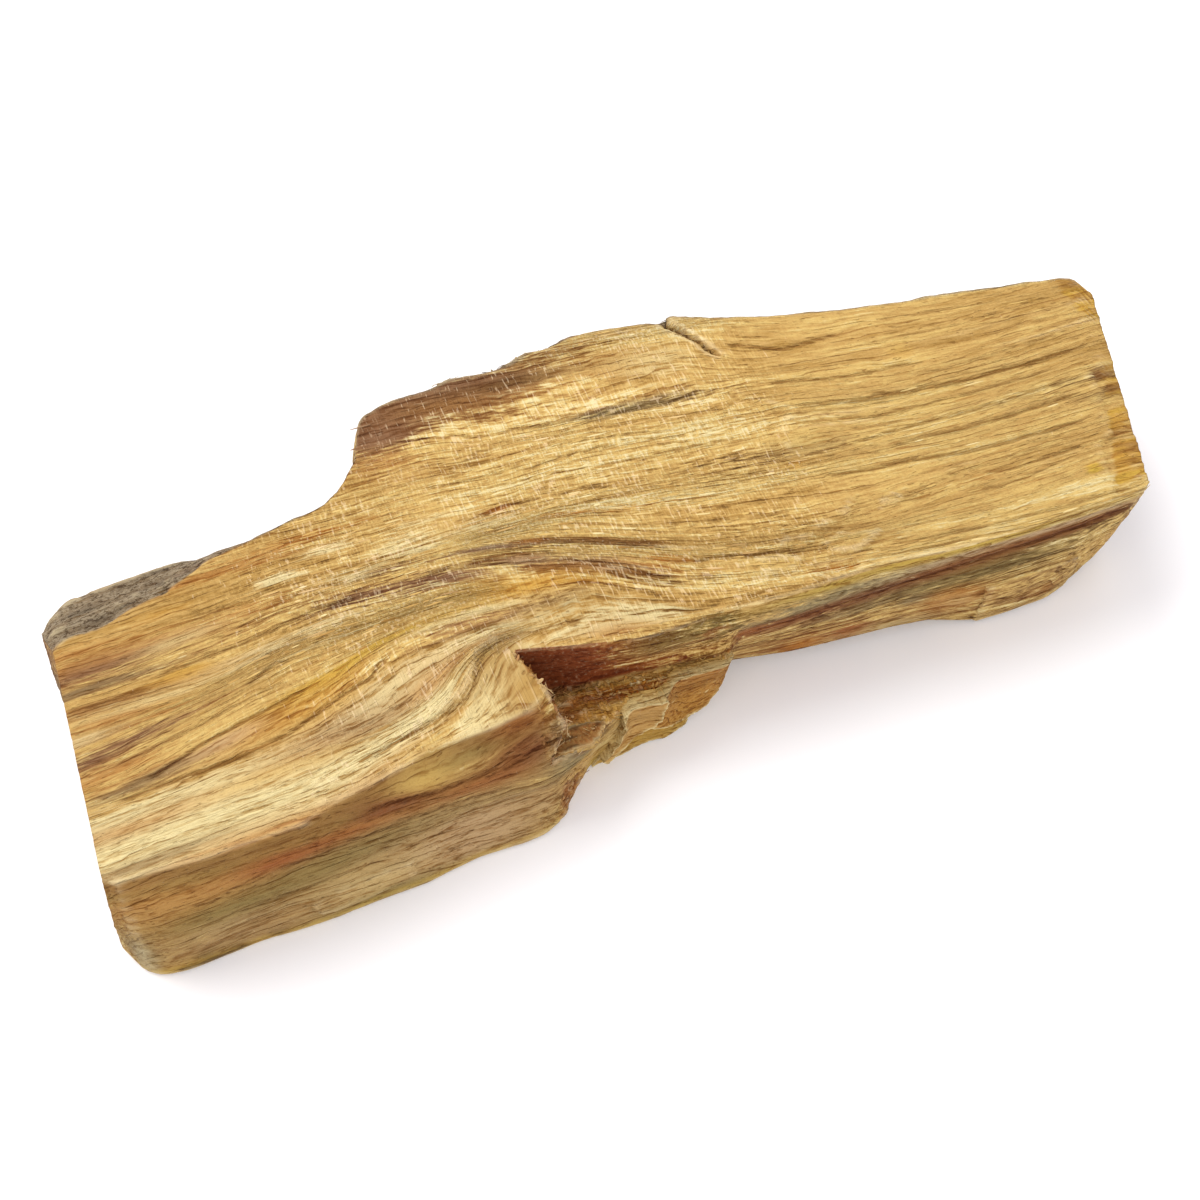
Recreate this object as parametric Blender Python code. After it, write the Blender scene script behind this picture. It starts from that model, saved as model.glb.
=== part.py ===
"""Palo santo stick: one split piece of holy wood, about 105 mm long, with a torn notch in its front.

The form is a loft between unlike sections. Each long edge of the stick is a row of points, read from one end
to the other, and the faces between the edges carry low relief by formula. It lies on its flat underside.
"""

import bmesh
import bpy
import numpy as np

MM = 0.001
THICKNESS = 15.0
LEFT_END = -48.5
RIGHT_END = 52.0
NAME = "palo_santo_stick"

# The notch starts at a break straight across the grain: the edges jump between these two stations.
BREAK_LEFT = -10.65
BREAK_RIGHT = -10.4
BREAK_LEAN = 0.29
BREAK_INNER_Y = -5.8

# Faces across the top, from the back edge to the line of the notch's back wall and on to the front edge.
# Right of the break the second group goes down the wall and over the ledge instead.
COLUMNS = (16, 4)
FRONT_ROWS = (2, 2, 2, 2)
NOTCH_ROWS = (3, 3, 4)
BACK_ROWS = (3, 3, 2)

# Long edges, as rows of station along the stick, place across it and height, in millimetres.
TOP_BACK = [
    (-48.5, 9.3, 14.7), (-47.9, 9.9, 15), (-46.8, 10.3, 15), (-43.3, 10.1, 15), (-40.7, 11.0, 15),
    (-37.9, 11.3, 15), (-34.3, 12.4, 15), (-32.6, 13.3, 15), (-28.2, 13.7, 15), (-25.2, 14.2, 15),
    (-22.3, 14.5, 15), (-20.7, 14.9, 15), (-19.0, 16.0, 15), (-17.2, 17.8, 15), (-16.2, 19.1, 15),
    (-15.6, 21.2, 15), (-14.7, 22.4, 15), (-13.0, 23.0, 15), (-11.0, 23.2, 15), (-7.6, 23.0, 15),
    (-5.4, 23.4, 15), (-2.6, 23.0, 15), (0.3, 22.8, 15), (2.1, 23.5, 15), (4.2, 23.6, 15),
    (6.9, 23.8, 15), (9.9, 23.6, 15), (13.6, 22.6, 15), (15.5, 21.9, 15), (16.3, 22.2, 15),
    (20.8, 20.3, 15), (26.2, 18.4, 15), (31.0, 16.7, 15), (36.4, 15.2, 15), (41.5, 14.1, 15),
    (45.0, 13.2, 15), (48.4, 12.4, 15), (50.2, 11.9, 15), (51.4, 10.9, 14.9), (52.0, 8.9, 14.7),
]
BACK_HIGH = [
    (-48.5, 13.6, 11.5), (-47.6, 15.4, 11), (-45.8, 16.6, 11), (-42.0, 16.7, 11), (-37.4, 16.6, 11.2),
    (-34.6, 16.1, 11.8), (-32.6, 15.3, 12.4), (-30.0, 14.9, 13), (-25.2, 14.8, 13.2), (-22.3, 15.0, 13.2),
    (-20.7, 15.5, 13), (-19.0, 16.7, 13), (-17.5, 18.3, 13), (-16.5, 19.8, 13), (-15.9, 21.7, 13),
    (-14.9, 23.1, 13), (-13.0, 23.6, 13), (-11.0, 23.9, 13), (-7.6, 23.6, 13), (-5.4, 24.0, 13),
    (-2.6, 23.6, 13), (0.3, 23.4, 13), (2.1, 24.0, 13), (6.9, 24.3, 13), (9.9, 24.1, 13),
    (13.6, 23.2, 13), (16.3, 22.4, 13), (20.8, 20.7, 13), (26.2, 18.9, 13), (31.0, 17.2, 13),
    (36.4, 15.7, 13), (41.5, 14.6, 13), (46.0, 13.6, 13), (50.2, 12.2, 13), (51.4, 11.2, 12.8),
    (52.0, 9.4, 12.6),
]
BACK_LOW = [
    (-48.5, 14.4, 6), (-47.4, 16.0, 6), (-45.0, 16.9, 6), (-38.0, 16.7, 6.5), (-32.0, 15.9, 6.5),
    (-25.0, 15.6, 6.5), (-21.0, 16.2, 6.5), (-18.0, 18.2, 6.5), (-16.6, 20.6, 6.5), (-15.2, 23.2, 6.5),
    (-13.0, 24.2, 6.5), (-8.0, 24.1, 6.5), (-3.0, 24.0, 6.5), (2.0, 24.2, 6.5), (7.0, 24.5, 6.5),
    (10.0, 24.2, 6.5), (14.0, 23.2, 6.5), (18.0, 22.2, 6.5), (21.0, 21.0, 6.5), (26.2, 19.3, 6.5),
    (31.0, 17.7, 6.5), (36.4, 16.2, 6.5), (41.5, 15.0, 6.5), (46.0, 13.8, 6.5), (50.2, 12.3, 6.5),
    (51.4, 11.2, 6.5), (52.0, 9.6, 6.5),
]
UNDER_BACK = [
    (-48.5, 12.0, 0.9), (-47.0, 13.9, 0.6), (-44.0, 14.6, 0.5), (-38.0, 14.8, 0.4), (-30.0, 14.2, 0.5),
    (-24.0, 14.0, 0.7), (-20.0, 14.6, 0.8), (-17.0, 17.4, 1.0), (-15.0, 20.6, 1.1), (-12.0, 22.0, 1.0),
    (-5.0, 22.2, 0.7), (3.0, 22.3, 0.5), (9.0, 22.4, 0.5), (14.0, 21.3, 0.6), (20.0, 19.4, 0.7),
    (28.0, 17.0, 0.8), (36.0, 14.6, 0.9), (44.0, 12.6, 0.9), (50.0, 10.9, 1.0), (52.0, 8.4, 1.2),
]
# Where the line of the notch's back wall would run on over the top of the left part.
WALL_LINE = [(-48.5, -5.8, 14.9), (-30.0, -5.6, 15), (-18.0, -4.9, 15), (-10.65, -5.8, 15)]
TOP_FRONT = [
    (-48.5, -12.8, 14.7), (-48.0, -13.5, 14.9), (-44.6, -13.7, 14.9), (-41.0, -14.2, 14.8),
    (-37.4, -14.3, 14.8), (-33.1, -14.4, 14.8), (-29.7, -13.6, 14.9), (-26.4, -13.2, 15),
    (-23.5, -12.7, 15), (-20.6, -12.0, 15), (-18.0, -12.1, 15), (-15.2, -12.1, 15), (-12.2, -11.6, 15),
    (-10.65, -10.45, 14.9), (-10.4, -5.9, 15), (-7.5, -6.9, 15), (-4.6, -7.8, 15), (0.5, -9.0, 15),
    (7.9, -9.3, 15), (15.2, -9.9, 15), (22.9, -10.2, 15), (29.0, -11.2, 15), (37.2, -11.9, 15),
    (45.0, -12.1, 15), (50.8, -12.3, 15), (51.7, -12.0, 14.8), (52.0, -11.2, 14.6),
]
# The lower edge of the pale strip under the top edge; left of the break, of the small chamfer there.
STRIP = [
    (-48.5, -13.3, 12.5), (-47.9, -14.0, 12.5), (-44.6, -14.4, 12.5), (-37.4, -15.0, 12.5),
    (-33.0, -15.1, 12.5), (-29.7, -14.5, 12.5), (-23.5, -13.5, 12.5), (-18.0, -12.6, 12.6),
    (-14.0, -12.3, 12.6), (-12.2, -12.4, 12.5), (-10.65, -12.7, 12.4), (-10.4, -6.0, 12.5),
    (-7.5, -7.0, 12.5), (-4.6, -8.0, 12.6), (-0.1, -9.2, 12.7), (5.5, -9.8, 12.7), (15.0, -10.4, 12.7),
    (25.0, -10.8, 12.7), (35.5, -11.4, 12.7), (44.0, -12.0, 12.8), (51.0, -12.0, 12.8),
    (51.8, -11.6, 12.7), (52.0, -11.0, 12.6),
]
# In the notch this is the corner where the back wall meets the ledge.
INNER = [
    (-48.5, -13.4, 10), (-47.8, -14.4, 10), (-45.0, -15.0, 10), (-37.4, -15.5, 10), (-30.0, -15.1, 10),
    (-23.5, -14.2, 10), (-18.0, -13.3, 10), (-14.0, -12.9, 10.3), (-12.2, -13.2, 10.6),
    (-10.65, -13.6, 10.4), (-10.4, -6.6, 8.4), (-7.5, -7.1, 8.2), (-5.8, -7.7, 8.1), (-3.3, -8.0, 8.0),
    (0.4, -8.6, 8.0), (2.2, -8.9, 8.0), (5.8, -9.4, 8.0), (8.2, -9.8, 8.1), (9.2, -9.2, 8.6),
    (10.0, -9.2, 9.5), (15.0, -9.9, 9.8), (25.0, -10.6, 9.8), (35.5, -11.8, 9.8), (44.0, -12.3, 9.8),
    (50.5, -11.9, 9.8), (51.7, -11.3, 9.8), (52.0, -10.6, 9.8),
]
# The outer edge of the ledge, and of the torn layers that stand out below it.
LEDGE = [
    (-48.5, -13.4, 7.5), (-47.8, -14.8, 7.5), (-45.2, -15.6, 7.5), (-38.0, -15.9, 7.5), (-30.0, -15.7, 7.5),
    (-23.6, -15.0, 7.6), (-18.7, -14.3, 7.8), (-14.0, -14.1, 8.2), (-12.0, -14.2, 8.6),
    (-10.65, -14.3, 8.7), (-10.4, -14.3, 8.7), (-8.0, -14.2, 9.2), (-6.2, -13.9, 8.9), (-5.2, -12.9, 8.6),
    (-4.2, -12.2, 8.2), (-3.2, -11.8, 8.0), (-2.0, -10.9, 8.0), (0.0, -11.3, 8.0), (1.3, -11.6, 8.0),
    (2.2, -11.0, 8.0), (2.9, -10.2, 8.0), (5.8, -10.5, 8.0), (7.5, -10.7, 8.0), (8.6, -10.2, 8.0),
    (9.2, -9.0, 7.0), (10.0, -8.8, 6.0), (15.0, -9.5, 6), (21.0, -10.2, 6), (27.0, -10.8, 6),
    (30.5, -11.4, 6), (34.8, -12.2, 6), (39.0, -12.5, 6), (44.0, -12.4, 6), (50.0, -11.5, 6),
    (51.6, -10.8, 6), (52.0, -10.0, 6),
]
UNDER_FRONT = [
    (-48.5, -12.4, 0.9), (-48.1, -14.2, 0.4), (-47.3, -15.7, 0.1), (-46.3, -16.6, 0), (-44.2, -17.1, 0),
    (-38.9, -16.9, 0), (-35.8, -17.2, 0), (-32.2, -17.4, 0), (-28.3, -17.2, 0), (-23.6, -17.3, 0),
    (-18.7, -16.8, 0), (-14.0, -17.1, 0), (-12.0, -16.9, 0), (-10.1, -16.1, 0), (-8.8, -14.5, 0),
    (-7.1, -12.9, 0), (-5.6, -11.7, 0), (-4.5, -12.0, 0), (-2.7, -11.8, 0), (-0.7, -11.5, 0),
    (1.8, -11.8, 0), (3.3, -11.5, 0), (4.2, -10.9, 0.5), (6.9, -10.3, 1), (8.3, -9.3, 1.1),
    (8.9, -8.1, 1.3), (9.6, -7.5, 1.5), (15.5, -9.0, 1.8), (21.4, -9.9, 2), (26.4, -10.5, 2),
    (29.8, -10.9, 1.8), (31.2, -11.0, 0.9), (34.8, -11.8, 0.3), (38.8, -12.1, 0.3), (43.8, -12.2, 0.4),
    (47.5, -11.3, 0.5), (50.5, -10.2, 0.7), (51.6, -9.5, 0.9), (52.0, -8.6, 1.2),
]

# How far the ends lean: along the stick for each millimetre across it, and for each millimetre down.
LEFT_SLANT, LEFT_DROP, LEFT_REACH = 0.091, -0.07, 10.0
RIGHT_SLANT, RIGHT_DROP, RIGHT_REACH = 0.2585, -0.09, 27.0
CORNER_BULGE = 0.8

# The grain runs straight on the left and turns towards the front on the right.
GRAIN_TURN_X = -18.0
GRAIN_SLOPE = 0.16
GRAIN_EASE = 7.0

# The crack at the back edge, from the edge inwards, and the lip that stands up on its right.
CRACK_OUTER = (15.7, 22.2)
CRACK_INNER = (19.5, 15.5)
LIP_HEIGHT, LIP_REACH = 0.6, 7.0

# Edges of torn layers on the top. The side on the left of the line, read from point to point, stands higher.
TORN_EDGES = [
    (0.40, 3.5, [(-3.0, 16.6), (2.1, 14.7), (6.1, 14.6), (9.8, 13.9), (13.7, 13.5), (17.4, 13.2)]),
    (0.30, 3.0, [(17.4, 13.2), (19.1, 10.8), (22.1, 8.3), (20.5, 6.5), (19.6, 2.0)]),
    (0.45, 4.0, [(-19.6, -9.4), (-15.3, -8.1), (-14.3, -6.1), (-13.4, -5.1), (-11.3, -4.4), (-9.9, -4.4)]),
    (0.35, 2.5, [(-6.5, 0.5), (-2.0, -1.2), (3.0, -2.6), (7.0, -4.4)]),
    (0.30, 2.5, [(14.0, -5.2), (18.5, -5.0), (22.5, -4.2), (24.5, -2.4)]),
    (0.30, 3.0, [(-44.0, -2.4), (-36.0, -1.0), (-28.0, 0.2), (-21.0, 2.6)]),
]
TORN_SOFTNESS = 0.7

# Raised and sunk places on the top: along, across, half length, half width, height.
TOP_LUMPS = [
    (6.0, 5.5, 14.0, 6.0, -0.30),
    (-12.5, -8.0, 3.0, 3.0, -0.25),
    (-5.0, 1.0, 8.0, 1.5, -0.30),
    (23.5, -5.6, 3.0, 1.2, -0.45),
    (17.0, -6.6, 4.0, 1.3, -0.40),
    (-38.0, -10.5, 9.0, 2.6, 0.30),
    (-26.0, 2.0, 10.0, 2.4, -0.30),
    (38.0, 4.0, 12.0, 2.2, -0.25),
]
# Sunk places on the weathered back: along, height, half length, half height, depth.
BACK_PITS = [
    (-40.0, 5.0, 4.0, 2.5, 0.5),
    (-27.0, 9.0, 3.5, 2.0, 0.4),
    (-6.0, 7.0, 4.5, 3.0, 0.5),
    (8.0, 4.0, 5.0, 2.2, 0.4),
    (24.0, 8.5, 5.0, 2.4, 0.5),
    (40.0, 5.0, 4.0, 2.6, 0.4),
]


def stations():
    """Places along the stick where a section is taken, closer together at the ends and at each step."""
    left = [LEFT_END, -48.2, -47.6, -46.8, -45.8, -44.6, *np.arange(-43.1, -20.0, 1.54)]
    step = [-19.2, -18.4, -17.6, -16.9, -16.2, -15.6, -15.0, -14.2, -13.2, -12.2, -11.4, BREAK_LEFT]
    notch = [BREAK_RIGHT, -9.4, -8.4, -7.4, -6.5, -5.6, -4.8, -4.0, -3.2, -2.0, -0.6, 0.8, 2.0, 2.9]
    layers = [4.2, 5.6, 7.0, 8.2, 8.9, 9.6, 10.8, 12.3, 13.8, 15.2, 15.9, 16.6, 18.0]
    right = [*np.arange(19.6, 49.0, 1.62), 49.8, 50.8, 51.4, 51.8, RIGHT_END]
    return np.array(left + step + notch + layers + right)


def along_edge(rows, at):
    """Place across and height of an edge at each station, eased over a millimetre but not over the break."""
    rows = np.array(rows, float)
    has_break = bool(np.any(rows[:, 0] == BREAK_LEFT))
    total = np.zeros((2, len(at)))
    for ease in (-0.5, 0.0, 0.5):
        near = np.clip(at + ease, LEFT_END, RIGHT_END)
        if has_break:
            left = at <= BREAK_LEFT
            near = np.where(left, np.minimum(near, BREAK_LEFT), np.maximum(near, BREAK_RIGHT))
        total += [np.interp(near, rows[:, 0], rows[:, 1]), np.interp(near, rows[:, 0], rows[:, 2])]
    return total / 3


def place_along(station, y, z):
    """True place along the stick: both ends lean, and so does the break at the notch."""
    at_left = np.clip((LEFT_END + LEFT_REACH - station) / LEFT_REACH, 0, 1)
    at_right = np.clip((station - RIGHT_END + RIGHT_REACH) / RIGHT_REACH, 0, 1)
    x = station + at_left * (LEFT_SLANT * y + LEFT_DROP * (THICKNESS - z))
    x = x - at_left * CORNER_BULGE * np.clip((y - 9.5) / 4, 0, 1)
    x = x + at_right * (RIGHT_SLANT * y + RIGHT_DROP * (THICKNESS - z))
    left_share = np.clip((station + 17.0) / 6.35, 0, 1)
    right_share = np.clip((-4.0 - station) / 6.4, 0, 1)
    near = np.where(station <= BREAK_LEFT, left_share, right_share)
    high = np.clip((z - 8.8) / 3, 0, 1)
    return x + BREAK_LEAN * np.clip(BREAK_INNER_Y - y, 0, None) * near * high


def across_grain(x, y):
    """Distance across the grain, which follows the bend in the wood."""
    past = (x - GRAIN_TURN_X) / GRAIN_EASE
    return y + GRAIN_SLOPE * GRAIN_EASE * np.log1p(np.exp(np.clip(past, -30, 30)))


def lumps(rows, a, b):
    total = np.zeros_like(a)
    for centre_a, centre_b, half_a, half_b, height in rows:
        total += height * np.exp(-(((a - centre_a) / half_a) ** 2) - ((b - centre_b) / half_b) ** 2)
    return total


def lip(x, y):
    """Height of the torn lip on the right of the crack. It dies away along the crack and away from it."""
    inwards = np.clip((CRACK_OUTER[1] - y) / (CRACK_OUTER[1] - CRACK_INNER[1]), 0, 1)
    past = x - CRACK_OUTER[0] - inwards * (CRACK_INNER[0] - CRACK_OUTER[0])
    return LIP_HEIGHT * (1 - inwards) * np.where(past > 0, np.exp(-past / LIP_REACH), 0)


def torn_edges(x, y):
    """Steps where a layer has torn off along a line. Each dies away behind the line and at its ends."""
    total = np.zeros_like(x)
    for height, reach, line in TORN_EDGES:
        line = np.array(line)
        lengths = np.linalg.norm(np.diff(line, axis=0), axis=1)
        run = np.concatenate([[0], np.cumsum(lengths)]) / lengths.sum()
        nearest = np.full_like(x, np.inf)
        side, done = np.zeros_like(x), np.zeros_like(x)
        for start, end, length, first, last in zip(line[:-1], line[1:], lengths, run[:-1], run[1:]):
            along = (end - start) / length
            t = np.clip(((x - start[0]) * along[0] + (y - start[1]) * along[1]) / length, 0, 1)
            off_x, off_y = x - start[0] - t * length * along[0], y - start[1] - t * length * along[1]
            away = np.hypot(off_x, off_y)
            closer = away < nearest
            nearest = np.where(closer, away, nearest)
            side = np.where(closer, np.sign(along[0] * off_y - along[1] * off_x), side)
            done = np.where(closer, first + t * (last - first), done)
        ramp = np.clip(0.5 + side * nearest / TORN_SOFTNESS / 2, 0, 1)
        ends = np.clip(done / 0.15, 0, 1) * np.clip((1 - done) / 0.15, 0, 1)
        total += height * ramp * np.exp(-np.where(side > 0, nearest, 0) / reach) * ends
    return total


def top_relief(x, y, from_back, from_front):
    """Ridges along the grain with lumps and sunk places, which fade out towards the edges."""
    v = across_grain(x, y)
    wander = 0.9 * np.sin(x / 13.0 + 0.4 * y) + 0.5 * np.sin(x / 5.1 + 1.7)
    ridges = 0.13 * np.sin(1.62 * v + wander) + 0.08 * np.sin(2.35 * v + 1.3 - 0.7 * wander)
    inside = np.clip(from_back / 2.5, 0, 1) * np.clip(from_front / 2.0, 0, 1)
    return (ridges + lumps(TOP_LUMPS, x, y) + torn_edges(x, y)) * inside + lip(x, y)


def side_relief(x, z):
    """Ridges along the front and the back, which bend as the stick does."""
    w = z + 0.6 * np.sin(x / 19.0)
    return 0.12 * np.sin(2.1 * w + 0.8 * np.sin(x / 9.0)) + 0.08 * np.sin(3.1 * w + x / 6.0)


def under_relief(x, y):
    """Hollows in the underside. The places between them stay on the ground."""
    v = across_grain(x, y)
    waves = 0.30 * np.sin(0.62 * v + 0.5) * np.sin(x / 8.5 + 0.9) + 0.16 * np.sin(1.5 * v + x / 11.0)
    near_middle = np.exp(-(((x - 2.5) / 9.0) ** 2) - ((y - 3.5) / 7.0) ** 2)
    return np.clip(waves - 0.12 - 0.8 * near_middle, 0, None)


def edge_points(chain, at):
    """(kind of face, y, z, share of the way, whether it lies between edges) for each point of a chain."""
    found = []
    for face, first, last, count in chain:
        start, end = along_edge(first, at), along_edge(last, at)
        for step in range(count):
            share = step / count
            found.append((face, *(start * (1 - share) + end * share), share, step > 0))
    return found


def sections(at):
    """Points round each section: over the top, down the front, back under and up the back."""
    left = [
        ("top", TOP_BACK, WALL_LINE, COLUMNS[0]),
        ("top", WALL_LINE, TOP_FRONT, COLUMNS[1]),
        ("front", TOP_FRONT, STRIP, FRONT_ROWS[0]),
        ("front", STRIP, INNER, FRONT_ROWS[1]),
        ("front", INNER, LEDGE, FRONT_ROWS[2]),
    ]
    right = [
        ("top", TOP_BACK, TOP_FRONT, COLUMNS[0]),
        ("front", TOP_FRONT, STRIP, NOTCH_ROWS[0]),
        ("front", STRIP, INNER, NOTCH_ROWS[1]),
        ("front", INNER, LEDGE, NOTCH_ROWS[2]),
    ]
    rest = [
        ("front", LEDGE, UNDER_FRONT, FRONT_ROWS[3]),
        ("under", UNDER_FRONT, UNDER_BACK, sum(COLUMNS)),
        ("back", UNDER_BACK, BACK_LOW, BACK_ROWS[0]),
        ("back", BACK_LOW, BACK_HIGH, BACK_ROWS[1]),
        ("back", BACK_HIGH, TOP_BACK, BACK_ROWS[2]),
    ]
    halves = []
    for stretch, chain in ((at[at <= BREAK_LEFT], left), (at[at >= BREAK_RIGHT], right)):
        back_y, front_y = along_edge(TOP_BACK, stretch)[0], along_edge(TOP_FRONT, stretch)[0]
        rims = along_edge(UNDER_FRONT, stretch)[1], along_edge(UNDER_BACK, stretch)[1]
        points = []
        for face, y, z, share, within in edge_points(chain + rest, stretch):
            x = place_along(stretch, y, z)
            if face == "top":
                z = z + top_relief(x, y, back_y - y, y - front_y)
            elif face == "front" and within:
                y = y - side_relief(x, z)
            elif face == "under":
                near_front, near_back = np.clip(1 - share / 0.2, 0, 1), np.clip((share - 0.85) / 0.15, 0, 1)
                z = near_front * rims[0] + near_back * rims[1] + within * under_relief(x, y)
            elif face == "back":
                y = y + side_relief(x + 40.0, z) - lumps(BACK_PITS, x, z)
            points.append(np.stack([x, y, z], axis=-1))
        halves.append(np.stack(points, axis=1))
    return np.concatenate(halves)


def cap(ring):
    """Points inside an end face, filled in between its four sides."""
    rows, columns = sum(FRONT_ROWS), sum(COLUMNS)
    top = ring[: columns + 1]
    front = ring[columns : columns + rows + 1]
    under = ring[columns + rows : 2 * columns + rows + 1][::-1]
    back = np.concatenate([ring[2 * columns + rows :], ring[:1]])[::-1]
    inside = np.empty((rows - 1, columns - 1, 3))
    for j in range(1, rows):
        down = j / rows
        for i in range(1, columns):
            over = i / columns
            between = top[i] * (1 - down) + under[i] * down + back[j] * (1 - over) + front[j] * over
            corners = (top[0] * (1 - over) + top[-1] * over) * (1 - down)
            corners = corners + (under[0] * (1 - over) + under[-1] * over) * down
            inside[j - 1, i - 1] = between - corners
    return inside


def cap_faces(ring_index, inside_index):
    """Quads of an end face, from the indices of its rim and of the points inside it."""
    rows, columns = sum(FRONT_ROWS), sum(COLUMNS)
    grid = np.empty((rows + 1, columns + 1), int)
    grid[0] = ring_index[: columns + 1]
    grid[:, -1] = ring_index[columns : columns + rows + 1]
    grid[-1] = ring_index[columns + rows : 2 * columns + rows + 1][::-1]
    grid[:, 0] = np.concatenate([ring_index[2 * columns + rows :], ring_index[:1]])[::-1]
    grid[1:-1, 1:-1] = inside_index
    return [
        [grid[j, i], grid[j, i + 1], grid[j + 1, i + 1], grid[j + 1, i]]
        for j in range(rows)
        for i in range(columns)
    ]


def build_mesh():
    at = stations()
    rings = sections(at)
    count, around = rings.shape[:2]
    first_cap, last_cap = cap(rings[0]), cap(rings[-1])
    points = np.concatenate([rings.reshape(-1, 3), first_cap.reshape(-1, 3), last_cap.reshape(-1, 3)])
    points[:, 2] -= points[:, 2].min()
    points[:, :2] -= (points[:, :2].min(axis=0) + points[:, :2].max(axis=0)) / 2

    index = np.arange(count * around).reshape(count, around)
    inside = np.arange(count * around, len(points)).reshape(2, *first_cap.shape[:2])
    quads = []
    for i in range(count - 1):
        for j in range(around):
            k = (j + 1) % around
            quads.append([index[i, j], index[i, k], index[i + 1, k], index[i + 1, j]])
    quads += cap_faces(index[0], inside[0])
    quads += cap_faces(index[-1], inside[1])

    mesh = bpy.data.meshes.new(NAME)
    form = bmesh.new()
    corners = [form.verts.new(point) for point in points * MM]
    for quad in quads:
        form.faces.new([corners[i] for i in quad])
    bmesh.ops.triangulate(form, faces=form.faces[:], quad_method="SHORT_EDGE")
    bmesh.ops.recalc_face_normals(form, faces=form.faces[:])
    form.to_mesh(mesh)
    form.free()
    return mesh


def wood():
    material = bpy.data.materials.new("palo_santo_wood")
    material.use_nodes = True
    surface = material.node_tree.nodes["Principled BSDF"]
    surface.inputs["Base Color"].default_value = (0.56, 0.36, 0.13, 1.0)
    surface.inputs["Roughness"].default_value = 0.7
    surface.inputs["Metallic"].default_value = 0.0
    material.diffuse_color = (0.56, 0.36, 0.13, 1.0)
    return material


def main():
    for old in list(bpy.data.objects):
        bpy.data.objects.remove(old, do_unlink=True)
    collection = bpy.data.collections.new("palo_santo_stick")
    bpy.context.scene.collection.children.link(collection)
    stick = bpy.data.objects.new(NAME, build_mesh())
    stick.data.materials.append(wood())
    collection.objects.link(stick)


main()
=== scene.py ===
import bpy
import numpy as np
from mathutils import Matrix, Vector
from mathutils.geometry import delaunay_2d_cdt


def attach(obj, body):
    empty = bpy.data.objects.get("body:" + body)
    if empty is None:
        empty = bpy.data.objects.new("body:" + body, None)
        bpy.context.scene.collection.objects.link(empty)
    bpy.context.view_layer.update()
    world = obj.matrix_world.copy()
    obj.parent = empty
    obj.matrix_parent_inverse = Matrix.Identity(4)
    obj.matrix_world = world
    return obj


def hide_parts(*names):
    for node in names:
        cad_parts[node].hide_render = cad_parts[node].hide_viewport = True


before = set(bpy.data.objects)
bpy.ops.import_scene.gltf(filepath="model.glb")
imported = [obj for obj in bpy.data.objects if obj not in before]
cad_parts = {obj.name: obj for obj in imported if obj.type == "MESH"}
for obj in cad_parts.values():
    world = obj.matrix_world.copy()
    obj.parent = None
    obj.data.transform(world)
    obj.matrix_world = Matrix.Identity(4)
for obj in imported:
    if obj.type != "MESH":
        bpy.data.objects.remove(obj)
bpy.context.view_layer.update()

print("frame loaded:", ", ".join(sorted(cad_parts)))
scene = bpy.context.scene
scene.view_settings.view_transform = "Standard"
mm = 0.001

# colours as they look in daylight, in steps of 255
shades = {
    "cream": (246, 226, 166), "pale": (233, 205, 140), "paleGold": (229, 190, 104), "tan": (210, 168, 98),
    "gold": (214, 164, 72), "orange": (203, 132, 48), "orangeTan": (201, 148, 80), "rust": (168, 98, 44),
    "brown": (156, 110, 58), "darkBrown": (112, 76, 36), "umber": (78, 46, 22), "mauve": (142, 102, 72),
    "palePink": (214, 180, 138), "greyTan": (182, 152, 108), "greyBrown": (146, 122, 84),
    "brick": (158, 80, 36), "maroon": (128, 62, 28), "olive": (142, 122, 66), "greyOlive": (152, 138, 98),
    "barkGrey": (176, 158, 128), "barkDark": (84, 72, 56), "yellow": (222, 184, 78),
    "ochre": (188, 146, 76), "straw": (230, 194, 116), "darkOchre": (148, 108, 52),
}


def toLinear(colour):
    c = np.array(colour, float) / 255
    return np.where(c <= 0.04045, c / 12.92, ((c + 0.055) / 1.055) ** 2.4)


def smooth(value, low, high):
    t = np.clip((value - low) / (high - low), 0, 1)
    return t * t * (3 - 2 * t)


# 1 at its middle, dying away over half a length and half a width
def spotAt(a, b, midA, midB, halfA, halfB):
    return np.exp(-(((a - midA) / halfA) ** 2) - ((b - midB) / halfB) ** 2)


def latticeNoise(points, seed=0):
    cell = np.floor(points).astype(np.int64)
    t = points - cell
    t = t * t * (3 - 2 * t)
    total = np.zeros(len(points))
    for corner in np.ndindex(2, 2, 2):
        c = cell + np.array(corner)
        hashed = (c[:, 0] * 73856093) ^ (c[:, 1] * 19349663) ^ (c[:, 2] * 83492791) ^ (seed * 26544357)
        for push in (15, 13, 16):
            hashed = hashed & 0xFFFFFFFF
            hashed = ((hashed ^ (hashed >> push)) * 1274126177) & 0xFFFFFFFF
        weight = np.prod(np.where(corner, t, 1 - t), axis=1)
        total += weight * ((hashed ^ (hashed >> 16)) / 0x7FFFFFFF - 1)
    return total


# noise of several sizes, stretched along the grain by the three numbers in stretch
def grainNoise(place, stretch, octaves=3, seed=0, fall=0.5):
    total, size, most = 0, 1.0, 0
    scaled = place * np.array(stretch, float)
    for octave in range(octaves):
        total = total + size * latticeNoise(scaled * 2 ** octave + 17.3 * octave, seed + octave)
        most += size
        size *= fall
    return total / most


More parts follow.
